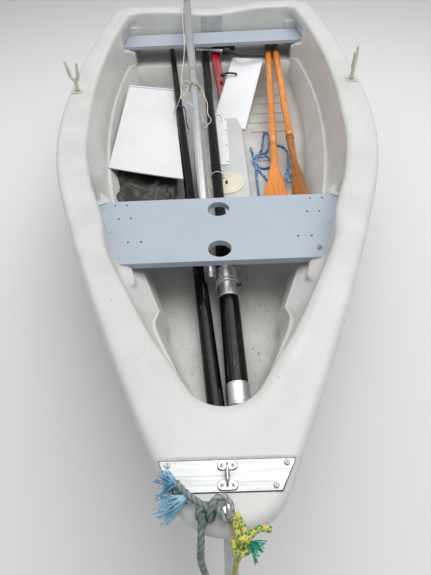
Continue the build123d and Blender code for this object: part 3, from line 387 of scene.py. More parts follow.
@dataclass(frozen=True)
class Cloth(Finish):
    """Woven cloth or felt: crossed threads, and lighter patches that are partly wear and partly painted
    highlight suggesting soft folds.
    """

    thread_mm: float = 3.0
    bump_mm: float = 0.25

    def shade(self, graph: Graph) -> None:
        """Threads both ways as bump, with patches of the lighter second colour: partly wear, partly painted
        highlight for folds.

        Args:
            graph: the node tree.
        """
        coords = self.coords(graph)
        wave = {"Vector": coords, "Scale": 0.32 / (self.thread_mm * MM), "Distortion": 0.6}
        threads = [graph.add("ShaderNodeTexWave", wave, bands_direction=way).outputs[1] for way in ("X", "Y")]
        # Patches of the lighter second colour: partly wear, partly painted highlight standing for light on
        # folds
        worn = graph.ramp(graph.noise(coords, 45.0), 0.35, 0.7)
        colour = graph.mix(worn, srgb(self.base), srgb(self.second))
        rough = graph.ramp(graph.noise(coords, 30.0), 0.3, 0.7, (self.roughness * 0.75, self.roughness * 1.2))
        self.set_surface(graph, colour, rough, graph.calc("MAXIMUM", *threads), self.bump_mm)


@dataclass(frozen=True)
class Strand(Finish):
    """Rope yarn: fibres along the lay, faded stretches, coloured marker flecks and painted shade in the
    grooves between strands.
    """

    fleck: str = "#ffffff"
    fleck_share: float = 0.0
    fade_mm: float = 70.0
    # Colour of the painted shade laid into the grooves between strands
    groove_shade: str = "#2c2f2e"

    def shade(self, graph: Graph) -> None:
        """Faded colour along the rope, short flecks where marker yarns surface, and painted shade darkening
        the grooves between strands.

        Args:
            graph: the node tree.
        """
        coords = self.coords(graph)
        fade = graph.ramp(graph.noise(coords, self.fade_mm), 0.35, 0.65)
        colour = graph.mix(fade, srgb(self.base), srgb(self.second))
        fibre = graph.noise(coords, 1.6, 2.0)
        colour = graph.mix(graph.ramp(fibre, 0.55, 0.75, (0.0, 0.45)), colour, srgb(self.second))
        if self.fleck_share > 0:
            along = self.coords(graph, "UV")
            stretch = graph.add("ShaderNodeMapping", {"Vector": along, "Scale": (3.0, 2.1, 1.0)})
            marks = graph.add("ShaderNodeTexVoronoi", {"Vector": stretch.outputs[0], "Scale": 1.0})
            on = graph.calc("LESS_THAN", marks.outputs["Distance"], self.fleck_share)
            colour = graph.mix(on, colour, srgb(self.fleck))
        # Painted shade: the colour turns toward the groove colour where the surface lies deep between strands
        depth = graph.add("ShaderNodeAttribute", attribute_name="groove_shade").outputs["Fac"]
        groove_shade = graph.ramp(depth, 0.35, 0.95, (0.0, 0.85))
        colour = graph.mix(groove_shade, colour, srgb(self.groove_shade))
        rough = graph.ramp(fibre, 0.3, 0.7, (self.roughness * 0.9, min(1.0, self.roughness * 1.1)))
        self.set_surface(graph, colour, rough, fibre, 0.3)


# Rotationally moulded polyethylene: light grey, softly shining, with dirt specks and drag marks
HULL_SKIN = Moulded("moulded_polyethylene_grey", "hull_plastic", "#d0d0cd", "#c7c7c4", 0.34, ior=1.51,
                    speck="#8b877a", speck_share=0.11, scuff="#a9a8a1", scuff_share=0.35, litter_share=0.9)
# The same plastic on the daggerboard case: cooler grey, dulled by feet
LINER_SKIN = Moulded("moulded_polyethylene_case", "liner_plastic", "#cfd1d0", "#c4c6c5", 0.42, ior=1.51,
                     speck="#7c776b", speck_share=0.13, scuff="#9d9c96", scuff_share=0.4)
# Foamed plastic sheet, rolled: satin blue grey, flat and even
THWART_SKIN = Moulded("satin_panel_blue_grey", "thwart_plastic", "#aeb8c2", "#a8b2bd", 0.38, ior=1.49,
                      mottle_mm=300.0, peel_mm=2.5, peel_height_mm=0.04, speck="#75808c", speck_share=0.05)
# Injection moulded polypropylene: off-white, smooth, a soft shine
CAP_SKIN = Moulded("polypropylene_white", "cap_plastic", "#f1f1ee", "#e8e8e4", 0.36, peel_mm=3.0,
                   peel_height_mm=0.05, speck="#8a857a", speck_share=0.08)
# Injection moulded polypropylene, yellowed by the sun: cream and dull
LID_SKIN = Moulded("polypropylene_cream", "lid_plastic", "#e4dfcb", "#dad4bb", 0.45, peel_mm=3.0,
                   peel_height_mm=0.06, speck="#8f8568", speck_share=0.08)
# Gel coat out of a polished mould: cool white, glossy, with light scuffs
FOIL_SKIN = Moulded("gel_coat_white", "foil_white", "#eff0f1", "#e6e8ea", 0.22, ior=1.52, peel_mm=20.0,
                    peel_height_mm=0.05, speck="#9a9b9c", speck_share=0.06, scuff="#b9bbbd", scuff_share=0.4)
# Red gel coat out of a polished mould: deep red, glossy
RUDDER_SKIN = Moulded("gel_coat_red", "blade_red", "#a20c1c", "#8c0a18", 0.2, ior=1.52, peel_mm=15.0,
                      peel_height_mm=0.05, speck="#5c0a12", speck_share=0.06)
# Extruded polypropylene sheet: white, dull, with rubbed patches
BOARD_SKIN = Moulded("polypropylene_sheet_white", "board_white", "#e3e3e4", "#dcddde", 0.42, peel_mm=2.5,
                     peel_height_mm=0.05, speck="#77726a", speck_share=0.07, scuff="#b0b0ae", scuff_share=0.3)
# Moulded nylon: off-white and dull
SOCKET_SKIN = Moulded("nylon_off_white", "socket_plastic", "#d3d1c8", "#c7c5bb", 0.45, peel_mm=2.0,
                      peel_height_mm=0.05)
# Cut polyethylene sheet: dark grey, dull, slightly rippled
PAD_SKIN = Moulded("polyethylene_grey_pad", "pad_plastic", "#6f7376", "#66696c", 0.5, peel_mm=3.0,
                   peel_height_mm=0.1, speck="#4b4c4d")
# Cast bronze dipped in plastic: chalky off-white with small chips
ROWLOCK_SKIN = Moulded("plastic_coated_bronze", "rowlock_white", "#d8d5cb", "#c5c1b3", 0.42, mottle_mm=40.0,
                       peel_mm=2.0, peel_height_mm=0.06, speck="#8b7f66", speck_mm=9.0, speck_share=0.16)
# Moulded acetal: black, smooth, half dull
BLACK_PLASTIC = Moulded("black_acetal", "black_plastic", "#17181a", "#1e1f22", 0.4, peel_mm=1.5,
                        peel_height_mm=0.04, speck="#3a3b3c")
# Moulded nylon: grey, dull, with road dirt
WHEEL_SKIN = Moulded("nylon_wheel_grey", "wheel_rim", "#b9bab8", "#aeb0ae", 0.5, peel_mm=2.5,
                     peel_height_mm=0.06, speck="#6d675b", speck_share=0.16)
# Moulded soft rubber: black and dull
RUBBER = Moulded("black_rubber", "black_rubber", "#161616", "#202020", 0.72, peel_mm=1.2,
                 peel_height_mm=0.08, speck="#33312d")
# Tyre rubber out of its mould: dark grey, dusty on the sides
TYRE_RUBBER = Moulded("tyre_rubber_dusty", "tyre", "#1d1c1b", "#2b2926", 0.78, mottle_mm=90.0, peel_mm=2.0,
                      peel_height_mm=0.1, speck="#5b5348", speck_share=0.2)
# Painted mast tube, wet: glossy black with rain drops and thin scratches
MAST_SKIN = WetTube("mast_black_gloss", "mast_black", "#050506", "#111213", 0.16, ior=1.36)
# Drawn tube, clear anodised: silver, soft satin along its length
ANODISED = Metal("anodised_aluminium", "spar_aluminium", "#e2e4e5", "#d6d9db", 0.36, metallic=1.0,
                 patch_mm=260.0, bump_mm=0.02)
# Rolled aluminium plate as it left the mill: pale, dulled and scratched by ropes
PLATE_METAL = Metal("mill_aluminium_plate", "plate_aluminium", "#cbcccc", "#bcbebe", 0.45, metallic=0.7,
                    along=Axis.WIDTH, grain_mm=5.0)
# Rolled aluminium strip: greyer and duller than the plate
STRIP_METAL = Metal("mill_aluminium_strip", "strip_aluminium", "#b5b8ba", "#a3a6a8", 0.45, metallic=0.9)
# Stainless steel, polished: bright with small sharp lights
STAINLESS = Metal("polished_stainless", "stainless", "#c4c4c2", "#b2b1ae", 0.22, metallic=1.0, grain_mm=2.0)
# Steel dipped in hot zinc: pale grey with spangle
ZINC = Metal("hot_dip_zinc", "galvanised", "#c6c9c9", "#acb0b1", 0.48, metallic=0.8, along=Axis.NONE,
             grain_mm=12.0, patch_mm=14.0)
# Planed spruce, varnished: orange with age, glossy, clear grain
OAR_WOOD = Wood("varnished_spruce", "varnished_wood", "#ea9740", "#dc842e", 0.24, coat=0.6)
# The same from a browner board
OAR_BROWN = Wood("varnished_spruce_brown", "varnished_wood", "#bf7a31", "#a26425", 0.28, coat=0.5,
                 dark="#5f3610")
# Bare spruce worn by hands: brown and half dull
GRIP_WOOD = Wood("spruce_grip_worn", "varnished_wood", "#a06427", "#8a511e", 0.45, coat=0.1, dark="#5a3411")
# Sawn softwood, weathered: grey brown and dull
BUNK_WOOD = Wood("weathered_softwood", "bunk_timber", "#8d7b63", "#7b6c58", 0.75, dark="#5d5142")
# Needled felt: dark grey, fibrous, no shine
BUNK_FELT = Cloth("marine_felt_grey", "bunk_felt", "#3b3d3f", "#4a4b4b", 0.95)
# Woven nylon with a coating: charcoal, shining where it creases; its lighter taupe patches are partly painted
# highlight on the folds
BAG_CLOTH = Cloth("coated_nylon_charcoal", "bag_fabric", "#2c2c2a", "#46443f", 0.4, ior=1.47)
# Polypropylene laid in three strands, aged by the sun: grey green
GREY_ROPE = Strand("polypropylene_rope_grey", "rope_grey", "#a3adab", "#63706f", 0.7)
# The same fibres unlaid and new: clear blue with pale tips
BLUE_FRAY = Strand("polypropylene_fibre_blue", "rope_grey", "#1781b2", "#b9dfea", 0.55)
# Braided polypropylene: yellow with green marker yarns
YELLOW_ROPE = Strand("braided_polypropylene_yellow", "rope_yellow", "#d9ca62", "#c9b53c", 0.6,
                     fleck="#2a8a5c", fleck_share=0.46)
# Its marker yarns, unbraided: sea green
GREEN_FRAY = Strand("polypropylene_fibre_green", "rope_yellow", "#1d8c77", "#4fc0a4", 0.6)
# Braided polyester: deep blue with white marker yarns
BLUE_ROPE = Strand("braided_polyester_blue", "rope_grey", "#0f5290", "#1f6fae", 0.6,
                   fleck="#e4eef5", fleck_share=0.34)
# Thin braided polyester: dark blue
NAVY_LINE = Strand("braided_polyester_navy", "rope_grey", "#1a5c9c", "#123f72", 0.6)
# Thin braided polyester: white, greyed by handling
WHITE_LINE = Strand("braided_polyester_white", "rope_grey", "#d9d6cc", "#c3beb0", 0.65)
# Painted shade: near-black plastic that stands for the deep shade in recesses, slots and screw holes
PAINTED_HOLE_SHADE = Moulded("shaded_hole", "black_plastic", "#141414", "#1a1a1a", 0.8)


# Mesh and curve helpers

# Least turn in degrees of an edge that gets rounded, on solids and on flat plates
SOLID_EDGE = 35
PLATE_EDGE = 50
# Sides of small and large round holes, and of screw heads
SMALL_HOLE_SIDES = 14
LARGE_HOLE_SIDES = 40
STUD_SIDES = 14
# Spacing of a rope's sections, in diameters
ROPE_STEP = 0.28


def dress(obj: bpy.types.Object, finish: Finish, body: str = "root") -> bpy.types.Object:
    """Gives a piece its finish and the body that it rides on.

    Args:
        obj: the piece, already in place.
        finish: what it is made of.
        body: the CAD body's name.

    Returns:
        The same piece.
    """
    obj.data.materials.clear()
    obj.data.materials.append(finish.material())
    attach(obj, body)
    return obj


def placed(name: str, data: bpy.types.ID) -> bpy.types.Object:
    """Puts new data in the scene.

    Args:
        name: the object's name.
        data: a mesh, curve, lamp or camera.

    Returns:
        The new object.
    """
    obj = bpy.data.objects.new(name, data)
    bpy.context.scene.collection.objects.link(obj)
    return obj


def round_edges(obj: bpy.types.Object, width_mm: float, angle: float) -> None:
    """Rounds the edges of a piece.

    Args:
        obj: the piece.
        width_mm: width of the rounding.
        angle: least turn in degrees of an edge that gets it.
    """
    rounding = obj.modifiers.new("rounding", "BEVEL")
    rounding.width = width_mm * MM
    rounding.segments = 3
    rounding.limit_method = "ANGLE"
    rounding.angle_limit = math.radians(angle)
    rounding.harden_normals = True


def mesh_piece(name: str, points: Sequence[Vector], faces: Sequence[Sequence[int]], finish: Finish,
               body: str = "root", bevel_mm: float = 0.0, levels: int = 0,
               uvs: Sequence[Pair] | None = None,
               grooves: Sequence[float] | None = None) -> bpy.types.Object:
    """Makes a mesh piece from points in the model's metres.

    Args:
        name: the piece's name.
        points: corners.
        faces: corner numbers of each face.
        finish: what it is made of.
        body: the CAD body it rides on.
        bevel_mm: width of rounded edges, or 0.
        levels: subdivision levels, or 0.
        uvs: one place per corner, or None.
        grooves: how deep each corner lies between a rope's strands, 0 to 1, which the rope's material turns
            into painted shade; or None.

    Returns:
        The new piece.
    """
    data = bpy.data.meshes.new(name)
    data.from_pydata([tuple(p) for p in points], [], [list(f) for f in faces])
    work = bmesh.new()
    work.from_mesh(data)
    if uvs is not None:
        layer = work.loops.layers.uv.new("UVMap")
        for face in work.faces:
            for loop in face.loops:
                loop[layer].uv = uvs[loop.vert.index]
    bmesh.ops.recalc_face_normals(work, faces=work.faces)
    work.to_mesh(data)
    work.free()
    data.shade_smooth()
    if grooves is not None:
        # Depth between strands, read by the rope's material to paint shade into the grooves
        data.attributes.new("groove_shade", "FLOAT", "POINT").data.foreach_set("value", list(grooves))
    obj = placed(name, data)
    if bevel_mm:
        round_edges(obj, bevel_mm, SOLID_EDGE)
    if levels:
        rounded = obj.modifiers.new("subdivision", "SUBSURF")
        rounded.levels = rounded.render_levels = levels
    return dress(obj, finish, body)


def grid_faces(rows: int, columns: int, closed: bool = False, start: int = 0) -> list[tuple[int, ...]]:
    """Quads of a grid of points stored row by row.

    Args:
        rows: how many rows.
        columns: points in a row.
        closed: True where each row runs round to its start.
        start: number of the first point.

    Returns:
        Four point numbers for each quad.
    """
    faces = []
    for r in range(rows - 1):
        for c in range(columns if closed else columns - 1):
            d = (c + 1) % columns
            faces.append((start + r * columns + c, start + r * columns + d,
                          start + (r + 1) * columns + d, start + (r + 1) * columns + c))
    return faces


def tube_faces(rings: int, around: int, start: int = 0) -> list[tuple[int, ...]]:
    """Quads between closed rings of points, with a face over each end."""
    end = start + (rings - 1) * around
    return [*grid_faces(rings, around, closed=True, start=start),
            tuple(range(start, start + around)), tuple(range(end, end + around))]


def slab(name: str, plan: Sequence[Pair], z0: float, z1: float, finish: Finish, bevel_mm: float = 2.0,
         holes: Sequence[tuple[float, float, float]] = (), body: str = "root") -> bpy.types.Object:
    """Flat plate with an outline in plan and round holes.

    Args:
        name: the piece's name.
        plan: outline corners.
        z0: lower height.
        z1: upper height.
        finish: what it is made of.
        bevel_mm: rounding of its edges.
        holes: x, y and radius of each hole.
        body: the CAD body it rides on.

    Returns:
        The new piece.
    """
    work = bmesh.new()
    loops = [list(plan)]
    for x, y, r in holes:
        count = LARGE_HOLE_SIDES if r > 20 else SMALL_HOLE_SIDES
        loops.append([(x + r * math.cos(2 * math.pi * i / count), y + r * math.sin(2 * math.pi * i / count))
                      for i in range(count)])
    edges = []
    for loop in loops:
        corners = [work.verts.new(at(x, y, z1)) for x, y in loop]
        edges += [work.edges.new((corners[i - 1], corners[i])) for i in range(len(corners))]
    bmesh.ops.triangle_fill(work, edges=edges, use_beauty=True)
    top = list(work.faces)
    grown = bmesh.ops.extrude_face_region(work, geom=top)
    low = [v for v in grown["geom"] if isinstance(v, bmesh.types.BMVert)]
    bmesh.ops.translate(work, verts=low, vec=Vector((0, 0, (z0 - z1) * MM)))
    bmesh.ops.recalc_face_normals(work, faces=work.faces)
    data = bpy.data.meshes.new(name)
    work.to_mesh(data)
    work.free()
    obj = placed(name, data)
    for face in data.polygons:
        face.use_smooth = abs(face.normal.z) < 0.5
    if bevel_mm:
        round_edges(obj, bevel_mm, PLATE_EDGE)
    return dress(obj, finish, body)


def rounded_plan(corners: Sequence[Pair], radius: float, steps: int = 6) -> list[Pair]:
    """Outline with rounded corners.

    Args:
        corners: corners in order.
        radius: of each rounding, less where a side is short.
        steps: legs of each rounding.

    Returns:
        The places of the outline.
    """
    plan = []
    count = len(corners)
    for i, here in enumerate(corners):
        p = Vector(here)
        a, b = Vector(corners[i - 1]) - p, Vector(corners[(i + 1) % count]) - p
        half = a.angle(b) / 2
        reach = min(radius / math.tan(half), a.length * 0.45, b.length * 0.45)
        start, end = p + a.normalized() * reach, p + b.normalized() * reach
        for k in range(steps + 1):
            t = k / steps
            q = start.lerp(p, t).lerp(p.lerp(end, t), t)
            plan.append((q.x, q.y))
    return plan


def frame_along(axis: Vector) -> Matrix:
    """Rotation whose z axis points along a direction."""
    return axis.normalized().to_track_quat("Z", "Y").to_matrix()


def lathe(name: str, profile: Sequence[Pair], base: Point, axis: Point, finish: Finish,
          body: str = "root", segments: int = 24) -> bpy.types.Object:
    """Round piece from a profile of radius and height.

    Args:
        name: the piece's name.
        profile: radius and height pairs in millimetres.
        base: where height 0 is.
        axis: direction of the height.
        finish: what it is made of.
        body: the CAD body it rides on.
        segments: sides round the axis.

    Returns:
        The new piece.
    """
    points, faces = lathe_parts(profile, base, axis, segments)
    return mesh_piece(name, points, faces, finish, body)


def lathe_parts(profile: Sequence[Pair], base: Point, axis: Point,
                segments: int) -> tuple[list[Vector], list[tuple[int, ...]]]:
    """Points and faces of a round piece.

    Args:
        profile: radius and height pairs in millimetres.
        base: where height 0 is.
        axis: direction of the height.
        segments: sides round the axis.

    Returns:
        Points in metres and faces.
    """
    turn = frame_along(Vector(axis))
    points = []
    for r, h in profile:
        for i in range(segments):
            a = 2 * math.pi * i / segments
            local = Vector((r * math.cos(a), r * math.sin(a), h)) * MM
            points.append(at(*base) + turn @ local)
    return points, tube_faces(len(profile), segments)


def studs(name: str, places: Sequence[Point], radius: float, height: float, finish: Finish,
          axis: Point = (0.0, 0.0, 1.0)) -> bpy.types.Object:
    """Domed screw or rivet heads with a drive recess, as one piece.

    Args:
        name: the piece's name.
        places: where each head sits.
        radius: head radius.
        height: head height.
        finish: what they are made of.
        axis: direction that the heads face.

    Returns:
        The new piece.
    """
    profile = [(radius, -0.4), (radius, height * 0.25), (radius * 0.86, height * 0.7),
               (radius * 0.6, height), (radius * 0.34, height), (radius * 0.26, height * 0.45)]
    points: list[Vector] = []
    faces: list[tuple[int, ...]] = []
    for place in places:
        more, quads = lathe_parts(profile, place, axis, STUD_SIDES)
        faces += [tuple(i + len(points) for i in quad) for quad in quads]
        points += more
    return mesh_piece(name, points, faces, finish)


def spline_points(route: Sequence[Point], step: float) -> list[Vector]:
    """Points along the smooth curve of a route, in millimetres.

    Args:
        route: control points; the curve starts and ends on the first and last.
        step: spacing of the points.

    Returns:
        Evenly spaced places on the quadratic curve.
    """
    p = [Vector(q) for q in route]
    legs = []
    for i in range(1, len(p) - 1):
        a = p[0] if i == 1 else (p[i - 1] + p[i]) / 2
        b = p[-1] if i == len(p) - 2 else (p[i] + p[i + 1]) / 2
        legs.append((a, p[i], b))
    fine = [legs[0][0]]
    for a, c, b in legs:
        for k in range(1, 25):
            t = k / 24
            fine.append(a.lerp(c, t).lerp(c.lerp(b, t), t))
    total = sum((fine[i] - fine[i - 1]).length for i in range(1, len(fine)))
    count = max(4, round(total / step))
    out, gone, want = [fine[0]], 0.0, total / count
    for i in range(1, len(fine)):
        leg = (fine[i] - fine[i - 1]).length
        while gone + leg >= want - 1e-6 and len(out) < count:
            out.append(fine[i - 1].lerp(fine[i], (want - gone) / leg))
            want += total / count
        gone += leg
    out.append(fine[-1])
    return out


def raised(places: Sequence[Point], base: float) -> list[Point]:
    """Control points whose heights are given over a base height."""
    return [(x, y, base + z) for x, y, z in places]


class Lay(Enum):
    """How a rope is made: sides of its section, and length of a turn in diameters."""

    THREE_STRAND = (24, 2.7)
    BRAID = (16, 1.6)


def rope_parts(path: Sequence[Vector], diameter: float, lay: Lay,
               start: int = 0) -> tuple[list[Vector], list[tuple[int, ...]], list[Pair], list[float]]:
    """Points, faces and texture places of a rope along a path.

    Args:
        path: centreline in boat millimetres.
        diameter: the rope's thickness.
        lay: three strand or braid.
        start: number of the first point.

    Returns:
        Points in metres, faces, one texture place and one groove depth per point.
    """
    sides, turn = lay.value
    radius, pitch = diameter / 2, diameter * turn
    points, uvs, grooves = [], [], []
    normal = None
    gone = 0.0
    for i, p in enumerate(path):
        ahead = path[min(i + 1, len(path) - 1)] - path[max(i - 1, 0)]
        ahead.normalize()
        if normal is None:
            normal = ahead.orthogonal().normalized()
        normal = (normal - ahead * normal.dot(ahead)).normalized()
        across = ahead.cross(normal)
        if i:
            gone += (p - path[i - 1]).length
        for k in range(sides):
            a = 2 * math.pi * k / sides
            if lay is Lay.THREE_STRAND:
                crest = abs(math.cos(1.5 * (a - 2 * math.pi * gone / pitch)))
                lobe = 0.70 + 0.34 * crest ** 0.8
            else:
                twist = 2 * math.pi * gone / pitch
                weave = math.cos(4 * a + twist) * math.cos(4 * a - twist)
                crest = 1 - 0.55 * max(0.0, -weave)
                lobe = 0.93 + 0.09 * weave
            spot = p + (normal * math.cos(a) + across * math.sin(a)) * radius * lobe
            points.append(at(*spot))
            uvs.append((k / sides * 2, gone / diameter * 0.9))
            grooves.append(1 - crest)
    return points, tube_faces(len(path), sides, start), uvs, grooves


def rope(name: str, routes: Sequence[Sequence[Point]], diameter: float, lay: Lay,
         finish: Finish) -> bpy.types.Object:
    """Rope piece along one or more routes.

    Args:
        name: the piece's name.
        routes: control points of each part.
        diameter: the rope's thickness.
        lay: three strand or braid.
        finish: what it is made of.

    Returns:
        The new piece.
    """
    points: list[Vector] = []
    faces: list[tuple[int, ...]] = []
    uvs: list[Pair] = []
    grooves: list[float] = []
    for route in routes:
        path = spline_points(route, diameter * ROPE_STEP)
        more, quads, places, depths = rope_parts(path, diameter, lay, len(points))
        points += more
        faces += quads
        uvs += places
        grooves += depths
    return mesh_piece(name, points, faces, finish, uvs=uvs, grooves=grooves)


def line_curve(name: str, route: Sequence[Point], diameter: float, finish: Finish) -> bpy.types.Object:
    """Thin cord as one smooth curve.

    Args:
        name: the piece's name.
        route: its control points.
        diameter: its thickness.
        finish: what it is made of.

    Returns:
        The new piece.
    """
    data = bpy.data.curves.new(name, "CURVE")
    data.dimensions = "3D"
    data.bevel_depth = diameter * MM / 2
    data.bevel_resolution = 3
    data.resolution_u = 8
    data.use_fill_caps = True
    spline = data.splines.new("NURBS")
    spline.points.add(len(route) - 1)
    for point, place in zip(spline.points, route):
        point.co = (*at(*place), 1.0)
    spline.order_u = 3
    spline.use_endpoint_u = True
    return dress(placed(name, data), finish)


def declare_cord(obj: bpy.types.Object, route: Sequence[Point], diameter: float) -> None:
    """Spaces points along a cord's route and keeps none of them.

    Args:
        obj: the cord; not used.
        route: its control points.
        diameter: its thickness.
    """
    path = spline_points(route, diameter * ROPE_STEP)


def fibres(name: str, root: Point, heading: Point, count: int, length: float, spread: float,
           finish: Finish, seed: int) -> bpy.types.Object:
    """Frayed end of a rope: many thin wavy fibres from one place.

    Args:
        name: the piece's name.
        root: where the fibres leave the rope.
        heading: their mean direction.
        count: how many.
        length: their mean length.
        spread: how far they open, as a share of the length.
        finish: what they are made of.
        seed: start of the random draws.

    Returns:
        The new piece.
    """
    draw = random.Random(seed)
    data = bpy.data.curves.new(name, "CURVE")
    data.dimensions = "3D"
    data.bevel_depth = 1.1 * MM
    data.bevel_resolution = 0
    data.resolution_u = 4
    turn = frame_along(Vector(heading))
    clumps = [Vector((draw.uniform(-spread, spread), draw.uniform(-spread, spread), 1)) for _ in range(6)]
    for i in range(count):
        loose = Vector((draw.uniform(-0.15, 0.15), draw.uniform(-0.15, 0.15), 0))
        aim = turn @ (clumps[i % len(clumps)] + loose).normalized()
        reach = length * draw.uniform(0.6, 1.15)
        start = Vector(root) + turn @ Vector((draw.uniform(-4, 4), draw.uniform(-4, 4), 0))
        sway = turn @ Vector((draw.uniform(-1, 1), draw.uniform(-1, 1), 0)) * reach * 0.14
        spline = data.splines.new("BEZIER")
        spline.bezier_points.add(2)
        for k, point in enumerate(spline.bezier_points):
            place = start + aim * reach * k / 2 + (sway if k == 1 else Vector())
            if k == 2:
                place.z -= reach * 0.08
            point.co = at(*place)
            point.handle_left_type = point.handle_right_type = "AUTO"
    return dress(placed(name, data), finish)


def finish_nodes(finish: Finish, *names: str) -> None:
    """Gives the CAD nodes that stay their finish.

    Args:
        finish: what they are made of.
        names: the nodes' names.
    """
    for name in names:
        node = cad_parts[name]
        node.data.materials.clear()
        node.data.materials.append(finish.material())


# Hull


@dataclass(frozen=True)
class Outline:
    """Closed waterline: a round bow, three tangent side arcs, round stern corners and a stern line."""

    stern_x: float
    stern_half: float
    mid_half: float
    shoulder_half: float
    tip_x: float
    bow_r: float
    corner_r: float
    entry: float

    def port(self) -> list[Pair]:
        """Port side places from the bow's tip to the stern corner's end.

        Returns:
            As many places for every outline, so that two can be blended.
        """
        turn = math.pi / 2 - math.atan(self.entry)
        places = []
        for k in range(BOW_STEPS + 1):
            a = turn * k / BOW_STEPS
            places.append((self.tip_x - self.bow_r * (1 - math.cos(a)), self.bow_r * math.sin(a)))
        heading = math.pi - math.atan(self.entry)
        here = places[-1]
        stops = [((SHOULDER_X, self.shoulder_half), FORE_STEPS), ((MID_X, self.mid_half), SHOULDER_STEPS),
                 ((self.stern_x + self.corner_r, self.stern_half), AFT_STEPS),
                 ((self.stern_x, self.stern_half - self.corner_r), CORNER_STEPS)]
        for stop, steps in stops:
            dx, dy = stop[0] - here[0], stop[1] - here[1]
            length = math.hypot(dx, dy)
            half = math.remainder(math.atan2(dy, dx) - heading, 2 * math.pi)
            for k in range(1, steps + 1):
                t = k / steps
                reach = length * t if abs(half) < 1e-6 else length * math.sin(t * half) / math.sin(half)
                aim = heading + t * half
                places.append((here[0] + reach * math.cos(aim), here[1] + reach * math.sin(aim)))
            heading += 2 * half
            here = stop
        return places


MID_X = 1250.0
SHOULDER_X = 1920.0
# Places on each arc of an outline, and across the boat
BOW_STEPS = 12
FORE_STEPS = 74
SHOULDER_STEPS = 52
AFT_STEPS = 88
CORNER_STEPS = 10
ACROSS = 28

# Outlines of the hull from its rim down to the keel, then of the cockpit down to its sole. Each has the
# stern's station, half breadths at stern, middle and shoulder, the tip's station, radii of the bow and the
# stern corners, and the slope of the entry.
RIM = Outline(-62, 640, 728, 598, 3097, 145, 90, 0.5)
BODY_TOP = Outline(-38, 618, 706, 576, 3072, 132, 80, 0.5)
BODY_SIDE = Outline(-26, 600, 688, 552, 3030, 115, 75, 0.49)
BODY_CHINE = Outline(0, 545, 622, 470, 2890, 90, 70, 0.46)
BODY_BILGE = Outline(24, 425, 480, 335, 2730, 70, 60, 0.42)
BODY_KEEL = Outline(50, 60, 62, 60, 2430, 48, 20, 0.05)
OPENING = Outline(28, 548, 612, 483, 2835, 110, 60, 0.6)
LEDGE = Outline(62, 522, 556, 418, 2768, 90, 60, 0.55)
LOWER = Outline(78, 506, 540, 400, 2758, 88, 60, 0.52)
FLOOR = Outline(92, 478, 466, 340, 2738, 84, 60, 0.48)

# Heights of the outside's outlines, and rings between the lower ones
HULL_LEVELS = ((280.0, BODY_KEEL), (325.0, BODY_BILGE), (390.0, BODY_CHINE), (600.0, BODY_SIDE),
               (820.0, BODY_TOP))
LEVEL_STEPS = (4, 6, 8)
# Gunwale's lip from its under edge to the deck: inset from the rim, drop below the deck
LIP_STEPS = ((6, 48), (1, 46), (0, 40), (0, 26), (1, 18), (4, 10.5), (9, 5), (17, 1.4), (28, 0))
DECK_ROWS = 22
WALL_ROWS = 27
LOWER_ROWS = 15
ROLL_DEPTH = 22.0
# Side ledge: share of the way from its outer to its inner edge, height
LEDGE_STEPS = ((0.0, 536.0), (0.1, 532.0), (0.3, 530.4), (0.75, 530.0), (0.93, 528.6), (1.0, 524.0))
# Cove round the sole: inset from the sole's edge, height over the sole
COVE_STEPS = ((-4, 30), (2, 14), (10, 5), (22, 1), (36, 0))


@dataclass(frozen=True)
class ThwartRoom:
    """Stations and half breadths of a thwart, for whose ends the cockpit wall is let out."""

    aft_x: float
    fwd_x: float
    aft_half: float
    fwd_half: float
    low: float
    ease: float


CENTRE_THWART = ThwartRoom(1801.0, 2168.0, 504.0, 378.0, low=565.0, ease=9.0)
AFT_THWART = ThwartRoom(-300.0, 262.0, 518.0, 578.0, low=610.0, ease=26.0)


@dataclass(frozen=True)
class Seat:
    """Moulded block inside the hull that carries a thwart's end."""

    aft_x: float
    fwd_x: float
    inner_at_aft: float
    slope: float
    top_z: float
    ear_rise: float
    ear_aft_x: float
    ear_fwd_x: float
    round_x: float = 22.0
    round_z: float = 14.0
    ear_ease: float = 14.0

    def cover(self, x: float, z: float) -> float:
        """Share by which the block fills the side.

        Args:
            x: station.
            z: height.

        Returns:
            0 clear of the block to 1 within it.
        """
        reach = self.round_x
        ends = hump((self.aft_x - reach, self.aft_x + reach), (self.fwd_x - reach, self.fwd_x + reach), x)
        away = max(smooth(0, self.ear_ease, self.ear_aft_x - x), smooth(0, self.ear_ease, x - self.ear_fwd_x))
        top = self.top_z + self.ear_rise * away
        return ends * (1 - smooth(top - self.round_z, top, z))

    def inner(self, x: float) -> float:
        """Half breadth of the block's inner face at a station."""
        return self.inner_at_aft + self.slope * (x - self.aft_x)


SEATS = (
    Seat(1748, 2268, 468, -0.335, 588, 10, ear_aft_x=1798, ear_fwd_x=2172, round_x=26.0),
    Seat(-200, 300, 502, 0.0, 609, 20, ear_aft_x=60, ear_fwd_x=272),
    Seat(-200, 66, 500, 0.0, 682, 0, ear_aft_x=-300, ear_fwd_x=400, round_x=5.0, round_z=16.0),
)


